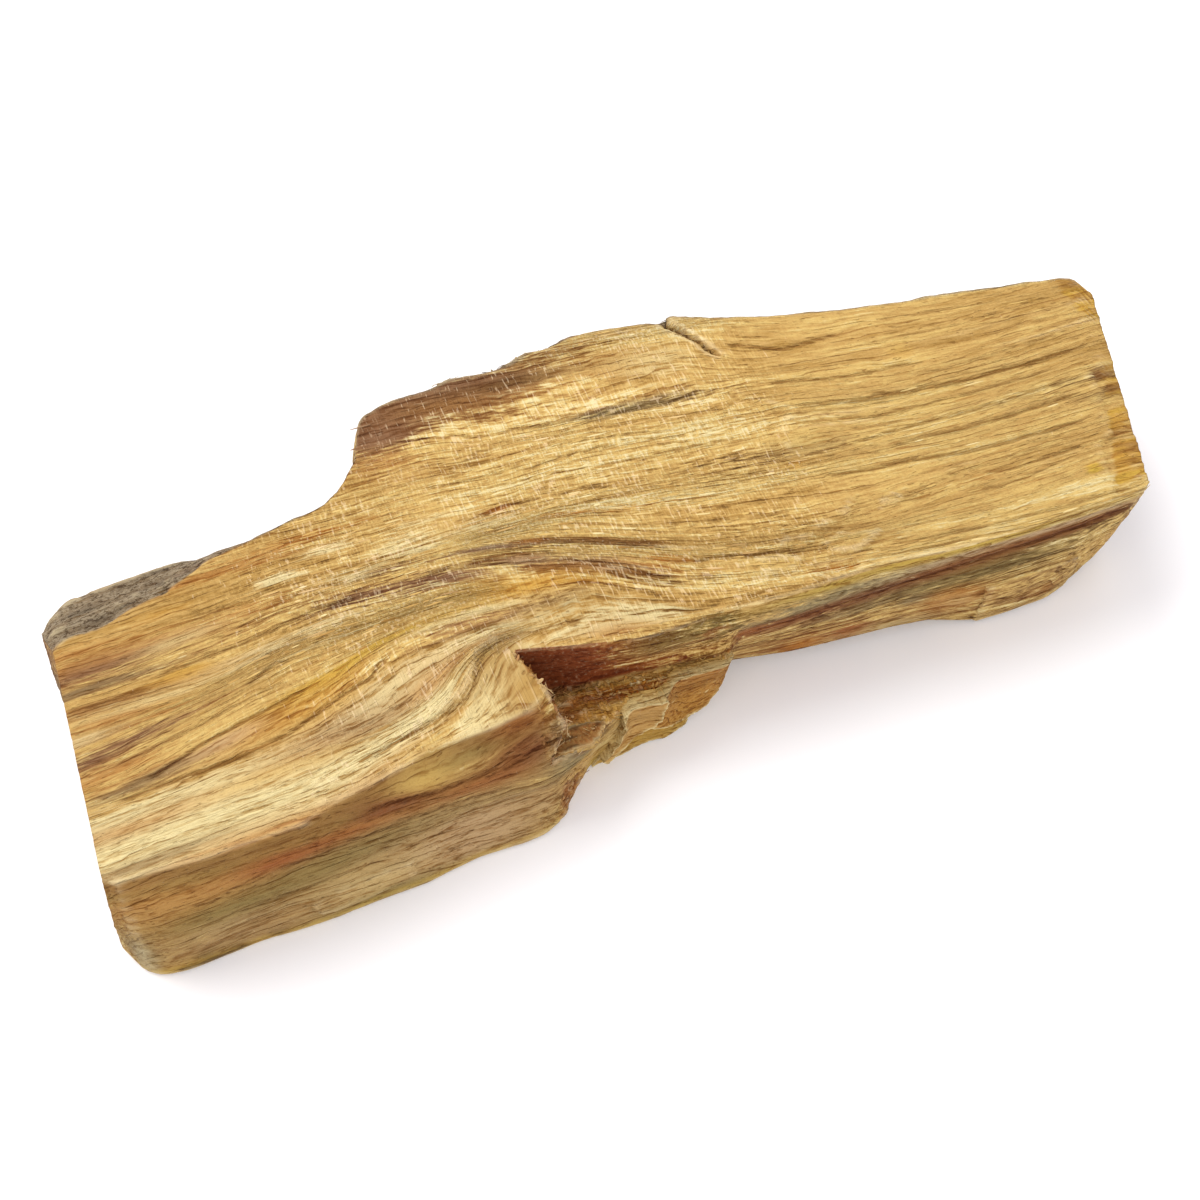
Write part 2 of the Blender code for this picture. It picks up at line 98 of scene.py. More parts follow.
# the stick's form, in millimetres from the place where it was measured
stick = {
    "shift": (-1.867, -3.519),  # from there to the frame's origin
    "thick": 15.0,
    "ends": (-48.5, 52.0),
    "breakAt": (-10.65, -10.4),  # the notch starts at a break across the grain
    "breakLean": 0.29,
    "breakInner": -5.8,
    "breakFade": ((-17.0, 6.35), (-4.0, 6.4)),  # where its lean starts on each side, and over how far
    "breakHigh": (8.8, 3.0),  # the same for its height
    "breakSteps": 12,
    "columns": (110, 22),
    "frontRows": (8, 8, 8, 28),
    "notchRows": (13, 13, 20),
    "underColumns": 40,
    "backRows": (13, 12, 11),
    "rounding": 2,  # passes of smoothing over the long edges
    "rightPush": 0.6,
    "throughScale": 0.62,  # the grain is coarser on the front and back than on the top
    "leftLean": (0.091, -0.07, 10.0),  # along for each millimetre across, for each one down, and its reach
    "rightLean": (0.2585, -0.09, 27.0),
    "cornerBulge": (0.8, 9.5, 4.0),  # how far, and from where across it grows over how far
    "grainSides": (0.25, -13.0, -6.0),  # the line where the left grain gives way to the right
    "grainApart": 31.7,  # keeps the noise on its two sides apart
}

# long edges: station along the stick, place across it and height
rails = {
    "topBack": [
        (-48.5, 9.3, 14.7), (-47.9, 9.9, 15), (-46.8, 10.3, 15), (-43.3, 10.1, 15), (-40.7, 11.0, 15),
        (-37.9, 11.3, 15), (-34.3, 12.4, 15), (-32.6, 13.3, 15), (-28.2, 13.7, 15), (-25.2, 14.2, 15),
        (-22.3, 14.5, 15), (-20.7, 14.9, 15), (-19.0, 16.0, 15), (-17.2, 17.8, 15), (-16.2, 19.1, 15),
        (-15.6, 21.2, 15), (-14.7, 22.4, 15), (-13.0, 23.0, 15), (-11.0, 23.2, 15), (-7.6, 23.0, 15),
        (-5.4, 23.4, 15), (-2.6, 23.0, 15), (0.3, 22.8, 15), (2.1, 23.5, 15), (4.2, 23.6, 15),
        (6.9, 23.8, 15), (9.9, 23.6, 15), (13.6, 22.6, 15), (15.5, 21.9, 15), (16.3, 22.2, 15),
        (20.8, 20.3, 15), (26.2, 18.4, 15), (31.0, 16.7, 15), (36.4, 15.2, 15), (41.5, 14.1, 15),
        (45.0, 13.2, 15), (48.4, 12.4, 15), (50.2, 11.9, 15), (51.4, 10.9, 14.9), (52.0, 8.9, 14.7)],
    "backHigh": [
        (-48.5, 13.6, 11.5), (-47.6, 15.4, 11), (-45.8, 16.6, 11), (-42.0, 16.7, 11), (-37.4, 16.6, 11.2),
        (-34.6, 16.1, 11.8), (-32.6, 15.3, 12.4), (-30.0, 14.9, 13), (-25.2, 14.8, 13.2),
        (-22.3, 15.0, 13.2), (-20.7, 15.5, 13), (-19.0, 16.7, 13), (-17.5, 18.3, 13), (-16.5, 19.8, 13),
        (-15.9, 21.7, 13), (-14.9, 23.1, 13), (-13.0, 23.6, 13), (-11.0, 23.9, 13), (-7.6, 23.6, 13),
        (-5.4, 24.0, 13), (-2.6, 23.6, 13), (0.3, 23.4, 13), (2.1, 24.0, 13), (6.9, 24.3, 13),
        (9.9, 24.1, 13), (13.6, 23.2, 13), (16.3, 22.4, 13), (20.8, 20.7, 13), (26.2, 18.9, 13),
        (31.0, 17.2, 13), (36.4, 15.7, 13), (41.5, 14.6, 13), (46.0, 13.6, 13), (50.2, 12.2, 13),
        (51.4, 11.2, 12.8), (52.0, 9.4, 12.6)],
    "backLow": [
        (-48.5, 14.4, 6), (-47.4, 16.0, 6), (-45.0, 16.9, 6), (-38.0, 16.7, 6.5), (-32.0, 15.9, 6.5),
        (-25.0, 15.6, 6.5), (-21.0, 16.2, 6.5), (-18.0, 18.2, 6.5), (-16.6, 20.6, 6.5), (-15.2, 23.2, 6.5),
        (-13.0, 24.2, 6.5), (-8.0, 24.1, 6.5), (-3.0, 24.0, 6.5), (2.0, 24.2, 6.5), (7.0, 24.5, 6.5),
        (10.0, 24.2, 6.5), (14.0, 23.2, 6.5), (18.0, 22.2, 6.5), (21.0, 21.0, 6.5), (26.2, 19.3, 6.5),
        (31.0, 17.7, 6.5), (36.4, 16.2, 6.5), (41.5, 15.0, 6.5), (46.0, 13.8, 6.5), (50.2, 12.3, 6.5),
        (51.4, 11.2, 6.5), (52.0, 9.6, 6.5)],
    "underBack": [
        (-48.5, 12.0, 0.9), (-47.0, 13.9, 0.6), (-44.0, 14.6, 0.5), (-38.0, 14.8, 0.4), (-30.0, 14.2, 0.5),
        (-24.0, 14.0, 0.7), (-20.0, 14.6, 0.8), (-17.0, 17.4, 1.0), (-15.0, 20.6, 1.1), (-12.0, 22.0, 1.0),
        (-5.0, 22.2, 0.7), (3.0, 22.3, 0.5), (9.0, 22.4, 0.5), (14.0, 21.3, 0.6), (20.0, 19.4, 0.7),
        (28.0, 17.0, 0.8), (36.0, 14.6, 0.9), (44.0, 12.6, 0.9), (50.0, 10.9, 1.0), (52.0, 8.4, 1.2)],
    "wallLine": [(-48.5, -5.8, 14.9), (-30.0, -5.6, 15), (-18.0, -4.9, 15), (-10.65, -5.8, 15)],
    "topFront": [
        (-48.5, -12.8, 14.7), (-48.0, -13.5, 14.9), (-44.6, -13.7, 14.9), (-41.0, -14.2, 14.8),
        (-37.4, -14.3, 14.8), (-33.1, -14.4, 14.8), (-29.7, -13.6, 14.9), (-26.4, -13.2, 15),
        (-23.5, -12.7, 15), (-20.6, -12.0, 15), (-18.0, -12.1, 15), (-15.2, -12.1, 15), (-12.2, -11.6, 15),
        (-10.65, -10.45, 14.9), (-10.4, -5.9, 15), (-7.5, -6.9, 15), (-4.6, -7.8, 15), (0.5, -9.0, 15),
        (7.9, -9.3, 15), (15.2, -9.9, 15), (22.9, -10.2, 15), (29.0, -11.2, 15), (37.2, -11.9, 15),
        (45.0, -12.1, 15), (50.8, -12.3, 15), (51.7, -12.0, 14.8), (52.0, -11.2, 14.6)],
    "strip": [
        (-48.5, -13.3, 12.5), (-47.9, -14.0, 12.5), (-44.6, -14.4, 12.5), (-37.4, -15.0, 12.5),
        (-33.0, -15.1, 12.5), (-29.7, -14.5, 12.5), (-23.5, -13.5, 12.5), (-18.0, -12.6, 12.6),
        (-14.0, -12.3, 12.6), (-12.2, -12.4, 12.5), (-10.65, -12.7, 12.4), (-10.4, -6.0, 12.5),
        (-7.5, -7.0, 12.5), (-4.6, -8.0, 12.6), (-0.1, -9.2, 12.7), (5.5, -9.8, 12.7), (15.0, -10.4, 12.7),
        (25.0, -10.8, 12.7), (35.5, -11.4, 12.7), (44.0, -12.0, 12.8), (51.0, -12.0, 12.8),
        (51.8, -11.6, 12.7), (52.0, -11.0, 12.6)],
    "inner": [
        (-48.5, -13.4, 10), (-47.8, -14.4, 10), (-45.0, -15.0, 10), (-37.4, -15.5, 10), (-30.0, -15.1, 10),
        (-23.5, -14.2, 10), (-18.0, -13.3, 10), (-14.0, -12.9, 10.3), (-12.2, -13.2, 10.6),
        (-10.65, -13.6, 10.4), (-10.4, -6.6, 8.4), (-7.5, -7.1, 8.2), (-5.8, -7.7, 8.1), (-3.3, -8.0, 8.0),
        (0.4, -8.6, 8.0), (2.2, -8.9, 8.0), (5.8, -9.4, 8.0), (8.2, -9.8, 8.1), (9.2, -9.2, 8.6),
        (10.0, -9.2, 9.5), (15.0, -9.9, 9.8), (25.0, -10.6, 9.8), (35.5, -11.8, 9.8), (44.0, -12.3, 9.8),
        (50.5, -11.9, 9.8), (51.7, -11.3, 9.8), (52.0, -10.6, 9.8)],
    "ledge": [
        (-48.5, -13.4, 7.5), (-47.8, -14.8, 7.5), (-45.2, -15.6, 7.5), (-38.0, -15.9, 7.5),
        (-30.0, -15.7, 7.5), (-23.6, -15.0, 7.6), (-18.7, -14.3, 7.8), (-14.0, -14.1, 8.2),
        (-12.0, -14.2, 8.6), (-10.65, -14.3, 8.7), (-10.4, -14.3, 8.7), (-8.0, -14.2, 9.2),
        (-6.2, -13.9, 8.9), (-5.2, -12.9, 8.6), (-4.2, -12.2, 8.2), (-3.2, -11.8, 8.0), (-2.0, -10.9, 8.0),
        (0.0, -11.3, 8.0), (1.3, -11.6, 8.0), (2.2, -11.0, 8.0), (2.9, -10.2, 8.0), (5.8, -10.5, 8.0),
        (7.5, -10.7, 8.0), (8.6, -10.2, 8.0), (9.2, -9.0, 7.0), (10.0, -8.8, 6.0), (15.0, -9.5, 6),
        (21.0, -10.2, 6), (27.0, -10.8, 6), (30.5, -11.4, 6), (34.8, -12.2, 6), (39.0, -12.5, 6),
        (44.0, -12.4, 6), (50.0, -11.5, 6), (51.6, -10.8, 6), (52.0, -10.0, 6)],
    "underFront": [
        (-48.5, -12.4, 0.9), (-48.1, -14.2, 0.4), (-47.3, -15.7, 0.1), (-46.3, -16.6, 0), (-44.2, -17.1, 0),
        (-38.9, -16.9, 0), (-35.8, -17.2, 0), (-32.2, -17.4, 0), (-28.3, -17.2, 0), (-23.6, -17.3, 0),
        (-18.7, -16.8, 0), (-14.0, -17.1, 0), (-12.0, -16.9, 0), (-10.1, -16.1, 0), (-8.8, -14.5, 0),
        (-7.1, -12.9, 0), (-5.6, -11.7, 0), (-4.5, -12.0, 0), (-2.7, -11.8, 0), (-0.7, -11.5, 0),
        (1.8, -11.8, 0), (3.3, -11.5, 0), (4.2, -10.9, 0.5), (6.9, -10.3, 1), (8.3, -9.3, 1.1),
        (8.9, -8.1, 1.3), (9.6, -7.5, 1.5), (15.5, -9.0, 1.8), (21.4, -9.9, 2), (26.4, -10.5, 2),
        (29.8, -10.9, 1.8), (31.2, -11.0, 0.9), (34.8, -11.8, 0.3), (38.8, -12.1, 0.3), (43.8, -12.2, 0.4),
        (47.5, -11.3, 0.5), (50.5, -10.2, 0.7), (51.6, -9.5, 0.9), (52.0, -8.6, 1.2)],
}

relief = {
    "ridge": 0.15, "fineRidge": 0.11,  # heights of the ridges along the grain
    "frontRidge": 0.13, "backRidge": 0.22, "underRidge": 0.10, "crumble": 0.16,
    "grooveWander": 0.22,
    "layerCount": 0.95, "layerHeight": 0.15,  # layers in a millimetre, and how far they stand out
    "lip": (15.7, 22.2, 19.5, 15.5, 0.36, 7.0),  # from outer end to inner end, height, reach
    # steps where a layer has torn off: height, reach and the line, with the higher side on its left
    "torn": [
        (0.26, 3.5, [(-3.0, 16.6), (2.1, 14.7), (6.1, 14.6), (9.8, 13.9), (13.7, 13.5), (17.4, 13.2)]),
        (0.30, 3.0, [(17.4, 13.2), (19.1, 10.8), (22.1, 8.3), (20.5, 6.5), (19.6, 2.0)]),
        (0.45, 4.0, [(-19.6, -9.4), (-15.3, -8.1), (-14.3, -6.1), (-13.4, -5.1), (-11.3, -4.4),
                     (-9.9, -4.4)]),
        (0.35, 2.5, [(-6.5, 0.5), (-2.0, -1.2), (3.0, -2.6), (7.0, -4.4)]),
        (0.30, 2.5, [(14.0, -5.2), (18.5, -5.0), (22.5, -4.2), (24.5, -2.4)]),
        (0.30, 3.0, [(-44.0, -2.4), (-36.0, -1.0), (-28.0, 0.2), (-21.0, 2.6)]),
        (0.22, 1.2, [(-7.5, -2.6), (-5.8, -3.2), (-3.4, -2.9), (-1.0, -3.4), (2.0, -4.4), (4.6, -5.6)]),
        (0.22, 1.0, [(-9.6, -5.4), (-7.0, -5.9), (-4.4, -6.0), (-2.0, -6.9), (1.4, -7.6)]),
        (0.20, 1.4, [(-16.4, 4.5), (-13.0, 4.2), (-10.4, 4.6), (-7.0, 4.0)]),
        (0.20, 1.2, [(-14.8, 21.9), (-10.2, 21.8), (-6.5, 22.0), (-2.6, 21.2), (1.2, 20.7)]),
    ],
    # raised and sunk places on the top: along, across, half length, half width, height
    "lumps": [
        (6.0, 5.5, 14.0, 6.0, -0.30), (-12.5, -8.0, 3.0, 3.0, -0.25), (-5.0, 1.0, 8.0, 1.5, -0.30),
        (23.5, -5.6, 3.0, 1.2, -0.45), (17.0, -6.6, 4.0, 1.3, -0.40), (-38.0, -10.5, 9.0, 2.6, 0.30),
        (-26.0, 2.0, 10.0, 2.4, -0.30), (38.0, 4.0, 12.0, 2.2, -0.25)],
    "backPits": [
        (-40.0, 5.0, 4.0, 2.5, 0.5), (-27.0, 9.0, 3.5, 2.0, 0.4), (-6.0, 7.0, 4.5, 3.0, 0.5),
        (8.0, 4.0, 5.0, 2.2, 0.4), (24.0, 8.5, 5.0, 2.4, 0.5), (40.0, 5.0, 4.0, 2.6, 0.4)],
    "middleRest": (2.5, 3.5, 9.0, 7.0),  # the underside stays flat round here
    # torn layers left standing on the top: height and outline
    "plates": [
        (0.30, [(19.0, -5.9), (21.0, -5.7), (23.0, -6.2), (24.5, -6.6), (24.3, -7.2), (22.8, -7.7),
                (21.4, -8.2), (19.5, -7.6)]),
        (0.22, [(25.8, -3.9), (27.3, -3.7), (28.2, -4.3), (27.0, -5.0), (25.4, -4.9)]),
        (0.16, [(-31.2, -11.0), (-28.6, -11.2), (-28.6, -12.1), (-30.9, -12.2)]),
        (0.18, [(-29.5, 9.4), (-26.5, 9.6), (-26.4, 8.8), (-29.2, 8.5)]),
        (0.25, [(12.8, -5.2), (15.2, -5.6), (17.0, -6.6), (15.6, -7.6), (13.0, -7.2)]),
        (-0.20, [(46.1, -11.6), (47.3, -6.2), (49.1, -5.4), (49.3, -3.0), (50.2, -1.2), (50.4, 1.4),
                 (56, 1.4), (54, -13)]),
        (-0.22, [(17.0, -8.2), (19.0, -8.3), (21.3, -9.2), (20.4, -9.8), (18.3, -9.5)]),
    ],
    # low layers on the front: how far they stand out, and outline as place along and height
    "layers": [
        (0.25, [(34.0, 7.2), (38.0, 7.5), (43.4, 7.0), (44.0, 3.0), (43.0, -1), (33.5, -1), (33.7, 4.0)]),
        (0.22, [(-34.2, 3.6), (-31.0, 4.3), (-24.6, 4.0), (-24.6, 1.9), (-29.0, 1.4), (-33.6, 1.6)]),
    ],
}

# dark grooves along the grain on the top: depth, half width and the line
topGrooves = [
    (0.22, 0.16, [(19.4, 17.3), (22.2, 16.0), (24.7, 14.7), (28.3, 14.4), (31.1, 14.2)]),
    (0.20, 0.18, [(21.1, 11.7), (24.7, 10.9), (27.6, 9.9), (30.8, 9.2), (34.0, 8.8), (37.2, 8.2)]),
    (0.25, 0.20, [(22.0, 8.3), (25.0, 7.7), (28.3, 6.7), (31.9, 6.1), (36.9, 5.4), (41.1, 4.9), (46.1, 4.4),
                  (53.0, 4.2)]),
    (0.18, 0.18, [(24.4, 6.1), (29.0, 4.6), (34.0, 4.0), (39.0, 3.5), (44.4, 3.1), (48.6, 2.9)]),
    (0.16, 0.16, [(22.2, 2.9), (25.8, 2.6), (30.1, 2.5), (35.4, 2.0), (40.8, 1.5), (49.7, 1.3)]),
    (0.18, 0.18, [(28.3, 1.1), (32.6, 0.7), (35.4, 0.2), (42.6, -0.3), (49.7, -0.6)]),
    (0.26, 0.20, [(21.1, 0.4), (25.8, -0.6), (30.1, -1.2), (35.4, -2.3), (39.7, -2.7), (44.4, -3.2),
                  (48.6, -3.3)]),
    (0.18, 0.18, [(35.4, -4.9), (39.0, -5.5), (42.6, -5.6), (46.2, -5.8)]),
    (0.16, 0.18, [(33.0, -6.4), (39.0, -6.8), (43.6, -6.6)]),
    (0.14, 0.16, [(24.0, -8.6), (30.0, -9.6), (35.4, -10.6), (44.0, -11.2), (50.0, -11.6)]),
    (0.12, 0.16, [(30.0, 12.6), (36.0, 11.6), (42.0, 10.9), (48.0, 10.5)]),
    (0.12, 0.16, [(34.0, 7.3), (40.0, 6.7), (47.0, 6.3), (52.0, 6.2)]),
    (0.12, 0.16, [(24.0, -4.0), (29.0, -4.6), (34.0, -3.9), (40.0, -4.3), (46.0, -4.6)]),
    (0.10, 0.14, [(28.0, 16.2), (34.0, 14.4), (40.0, 13.2), (47.0, 12.0)]),
    (0.13, 0.13, [(-15.2, 11.6), (-10.3, 11.3), (-6.1, 10.4), (-1.9, 10.2), (1.0, 9.7), (4.5, 9.2),
                  (7.4, 8.6), (10.0, 8.1), (18.0, 7.2)]),
    (0.11, 0.12, [(-12.0, 8.5), (-6.1, 8.3), (-1.9, 8.3), (1.0, 7.8), (3.9, 7.3)]),
    (0.13, 0.13, [(-4.0, 11.6), (0.6, 11.3), (4.5, 11.0), (9.0, 10.2), (12.3, 9.2), (18.0, 8.1)]),
    (0.11, 0.13, [(-2.0, 12.9), (0.6, 12.8), (4.5, 12.1), (8.1, 11.3), (11.0, 10.5), (16.0, 9.8)]),
    (0.11, 0.13, [(8.0, 6.4), (12.9, 5.7), (18.0, 4.7)]),
    (0.10, 0.13, [(8.1, 5.3), (12.3, 4.1), (18.0, 2.8)]),
    (0.10, 0.12, [(4.2, 1.3), (9.0, 0.2), (13.9, -1.3), (20.0, -2.6)]),
    (0.16, 0.16, [(7.1, -3.2), (10.3, -4.0), (13.9, -5.2), (18.0, -6.2)]),
    (0.12, 0.16, [(-15.2, 18.6), (-11.6, 18.4), (-7.7, 17.7), (-5.5, 16.5), (-1.9, 16.0), (0.6, 15.3),
                  (4.5, 14.6), (9.0, 14.3)]),
    (0.12, 0.14, [(-15.8, 13.3), (-11.9, 13.1), (-8.7, 12.3), (-4.0, 12.2)]),
    (0.12, 0.14, [(-16.0, 15.6), (-12.0, 15.4), (-8.0, 14.4), (-3.0, 14.0)]),
    (0.24, 0.18, [(-44.5, -5.8), (-41.7, -5.1), (-38.9, -4.2), (-37.0, -3.8), (-34.5, -3.3), (-30.1, -2.5),
                  (-27.3, -2.3)]),
    (0.22, 0.17, [(-48.5, -6.4), (-41.7, -6.5), (-36.4, -6.4), (-32.6, -6.1), (-30.1, -5.6), (-28.3, -5.1),
                  (-25.4, -4.2), (-22.9, -3.7), (-21.7, -2.4), (-18.9, -2.0)]),
    (0.20, 0.16, [(-33.3, -0.4), (-31.7, 0.2), (-30.1, 1.0), (-28.9, 0.8)]),
    (0.18, 0.18, [(-41.7, 3.5), (-35.8, 3.8), (-32.0, 3.9), (-28.3, 4.3), (-25.4, 4.7), (-23.9, 4.6),
                  (-19.5, 4.3)]),
    (0.12, 0.16, [(-36.0, 8.1), (-32.0, 8.0), (-28.3, 8.1), (-23.9, 7.8)]),
    (0.14, 0.16, [(-29.0, -7.8), (-27.0, -7.9), (-24.8, -7.8), (-22.0, -7.2), (-19.0, -6.4)]),
    (0.15, 0.20, [(-27.0, -11.2), (-25.1, -10.8), (-22.0, -10.1), (-18.9, -9.3), (-16.0, -8.7),
                  (-14.9, -7.4), (-14.0, -5.9), (-12.9, -5.0), (-10.9, -4.5)]),
    (0.12, 0.16, [(-47.0, 2.9), (-42.0, 2.7), (-38.0, 2.2)]),
    (0.12, 0.16, [(-48.0, -3.4), (-43.0, -3.0), (-38.0, -2.2), (-33.0, -1.4), (-28.0, -0.9)]),
    (0.10, 0.14, [(-48.0, 6.0), (-42.0, 5.6), (-36.0, 5.9)]),
    (0.14, 0.16, [(-16.6, 4.2), (-13.0, 4.0), (-9.0, 3.2), (-5.0, 2.0), (-1.5, 0.4), (1.5, -1.6),
                  (4.0, -3.6), (7.0, -5.2)]),
    (0.12, 0.15, [(-4.0, 3.4), (-1.0, 2.3), (1.8, 0.9), (4.8, -0.9), (7.2, -2.4)]),
    (0.10, 0.15, [(-19.0, -1.2), (-14.0, -0.9), (-9.0, -1.6), (-5.0, -1.4)]),
    (0.10, 0.15, [(-20.0, -3.0), (-15.0, -2.7), (-10.0, -3.2), (-6.0, -3.4)]),
]
# the same on the front, as place along and height
frontGrooves = [
    (0.22, 0.22, [(9.0, 10.4), (12.0, 9.8), (20.0, 10.4), (27.0, 11.1), (35.0, 11.7), (44.0, 12.3),
                  (51.0, 12.3)]),
    (0.14, 0.18, [(26.0, 14.2), (34.0, 14.1), (42.0, 14.3), (50.0, 14.2)]),
    (0.12, 0.16, [(12.0, 8.3), (20.0, 8.8), (28.0, 9.4), (36.0, 10.0), (43.0, 10.6)]),
    (0.10, 0.16, [(14.0, 7.0), (22.0, 7.4), (28.0, 8.2), (35.0, 8.8), (44.0, 9.3)]),
    (0.10, 0.16, [(12.0, 5.2), (18.0, 5.5), (25.0, 5.6)]),
    (0.15, 0.16, [(-46.0, 9.4), (-42.0, 8.9), (-40.0, 9.6), (-36.0, 10.1), (-29.0, 9.6), (-22.0, 8.4),
                  (-17.0, 7.6), (-12.0, 7.2)]),
    (0.16, 0.16, [(-28.4, 12.6), (-25.0, 11.7), (-21.4, 10.2), (-18.0, 9.5), (-15.5, 9.6), (-13.0, 11.0),
                  (-10.8, 11.9)]),
    (0.13, 0.14, [(-17.0, 9.2), (-15.0, 8.9), (-13.0, 9.6), (-10.8, 10.6)]),
    (0.10, 0.14, [(-44.0, 5.9), (-36.0, 6.3), (-28.0, 5.9), (-22.0, 5.5), (-17.0, 5.6)]),
    (0.09, 0.13, [(-45.0, 4.2), (-38.0, 4.5), (-34.0, 4.2)]),
    (0.09, 0.12, [(-22.0, 4.4), (-18.0, 4.2), (-14.0, 4.5), (-10.0, 4.2)]),
    (0.09, 0.12, [(-22.0, 3.2), (-18.0, 2.9), (-14.0, 3.3), (-10.0, 2.9)]),
    (0.09, 0.12, [(-20.0, 1.9), (-16.0, 1.7), (-12.0, 2.1), (-9.5, 1.6)]),
]
crack = {"line": [(15.5, 22.6), (15.7, 21.4), (16.5, 20.25), (17.6, 18.8), (18.1, 17.6), (18.6, 16.7),
                  (19.4, 15.7)],
         "width": 0.17, "depth": 0.8, "stopsAt": 15}


def railAt(name, at):
    rows = np.array(rails[name], float)
    low, high = stick["ends"]
    leftOf, rightOf = stick["breakAt"]
    broken = bool(np.any(rows[:, 0] == leftOf)) and rows[-1, 0] > leftOf
    total = np.zeros((2, len(at)))
    for ease in (-0.5, 0.0, 0.5):
        near = np.clip(at + ease, low, high)
        if broken:
            near = np.where(at <= leftOf, np.minimum(near, leftOf), np.maximum(near, rightOf))
        total += [np.interp(near, rows[:, 0], rows[:, 1]), np.interp(near, rows[:, 0], rows[:, 2])]
    return total / 3


# both ends lean, and so does the break at the notch
def leanedAlong(station, y, z):
    low, high = stick["ends"]
    slant, drop, reach = stick["leftLean"]
    atLeft = np.clip((low + reach - station) / reach, 0, 1)
    x = station + atLeft * (slant * y + drop * (stick["thick"] - z))
    bulge, start, over = stick["cornerBulge"]
    x = x - atLeft * bulge * np.clip((y - start) / over, 0, 1)
    slant, drop, reach = stick["rightLean"]
    atRight = np.clip((station - high + reach) / reach, 0, 1)
    x = x + atRight * (slant * y + drop * (stick["thick"] - z) + stick["rightPush"])
    (leftFrom, leftOver), (rightFrom, rightOver) = stick["breakFade"]
    near = np.where(station <= stick["breakAt"][0], np.clip((station - leftFrom) / leftOver, 0, 1),
                    np.clip((rightFrom - station) / rightOver, 0, 1))
    start, over = stick["breakHigh"]
    return (x + stick["breakLean"] * np.clip(stick["breakInner"] - y, 0, None) * near
            * np.clip((z - start) / over, 0, 1))


# distance to a line, which side of it (1 on its left) and how far along it, for each point
def toLine(x, y, line, closed=False):
    line = np.array(line, float)
    if closed:
        line = np.concatenate([line, line[:1]])
    lengths = np.linalg.norm(np.diff(line, axis=0), axis=1)
    run = np.concatenate([[0], np.cumsum(lengths)]) / lengths.sum()
    nearest, side, done = np.full_like(x, np.inf), np.zeros_like(x), np.zeros_like(x)
    for start, end, length, first, last in zip(line[:-1], line[1:], lengths, run[:-1], run[1:]):
        along = (end - start) / length
        t = np.clip(((x - start[0]) * along[0] + (y - start[1]) * along[1]) / length, 0, 1)
        offX, offY = x - start[0] - t * length * along[0], y - start[1] - t * length * along[1]
        away = np.hypot(offX, offY)
        closer = away < nearest
        nearest = np.where(closer, away, nearest)
        side = np.where(closer, np.sign(along[0] * offY - along[1] * offX), side)
        done = np.where(closer, first + t * (last - first), done)
    return nearest, side, done


def insideOutline(x, y, outline):
    inside = np.zeros(len(x), bool)
    for (ax, ay), (bx, by) in zip(outline, np.roll(outline, -1, axis=0)):
        if ay != by:
            crosses = (ay > y) != (by > y)
            inside ^= crosses & (x < ax + (y - ay) * (bx - ax) / (by - ay))
    return inside


def platesAt(x, y, plates, edge=0.18):
    total = np.zeros_like(x)
    for height, outline in plates:
        away = toLine(x, y, outline, closed=True)[0]
        signed = np.where(insideOutline(x, y, outline), away, -away)
        total += height * smooth(signed, -edge, edge)
    return total


def stationsAlong():
    low, high = stick["ends"]
    leftOf, rightOf = stick["breakAt"]
    parts = [
        np.array([low, low + 0.15, low + 0.35]), np.arange(low + 0.65, -20.0, 0.38),
        np.arange(-20.0, -11.5, 0.30),
        np.linspace(-11.4, leftOf, 5), np.linspace(rightOf, -9.4, 6), np.arange(-9.15, 9.8, 0.25),
        np.arange(9.9, 20.0, 0.34), np.arange(20.1, high - 0.6, 0.42),
        np.array([high - 0.35, high - 0.15, high])]
    return np.concatenate(parts)


# the ring of points round each section, from the back edge over the top and down the front
def ringsAlong(at):
    a, b, c, d = stick["frontRows"]
    n, m, o = stick["notchRows"]
    left = [("topBack", "wallLine", stick["columns"][0]), ("wallLine", "topFront", stick["columns"][1]),
            ("topFront", "strip", a), ("strip", "inner", b), ("inner", "ledge", c)]
    right = [("topBack", "topFront", stick["columns"][0]), ("topFront", "strip", n), ("strip", "inner", m),
             ("inner", "ledge", o)]
    e, f, g = stick["backRows"]
    rest = [("ledge", "underFront", d), ("underFront", "underBack", stick["underColumns"]),
            ("underBack", "backLow", e), ("backLow", "backHigh", f), ("backHigh", "topBack", g)]
    halves = []
    for stretch, chain in ((at[at <= stick["breakAt"][0]], left), (at[at >= stick["breakAt"][1]], right)):
        points = []
        for first, last, count in chain + rest:
            start, end = railAt(first, stretch), railAt(last, stretch)
            for step in range(count):
                share = step / count
                y, z = start * (1 - share) + end * share
                if first == "underFront":  # the underside is flat between its two rims
                    z = (start[1] * np.clip(1 - share / 0.2, 0, 1)
                         + end[1] * np.clip((share - 0.85) / 0.15, 0, 1))
                points.append(np.stack([leanedAlong(stretch, y, z), y, z], axis=-1))
        halves.append(np.stack(points, axis=1))
    steps = np.linspace(0, 1, stick["breakSteps"] + 2)[1:-1, None, None]
    between = halves[0][-1] * (1 - steps) + halves[1][0] * steps
    return np.concatenate([halves[0], between, halves[1]])


def roundEdges(rings, passes):
    for _ in range(passes):
        rings = rings * 0.5 + (np.roll(rings, 1, axis=1) + np.roll(rings, -1, axis=1)) * 0.25
    return rings


def ringNormals(rings):
    around = np.roll(rings, -1, axis=1) - np.roll(rings, 1, axis=1)
    along = np.gradient(rings, axis=0)
    normal = np.cross(around, along)
    return normal / np.maximum(np.linalg.norm(normal, axis=-1, keepdims=True), 1e-9)


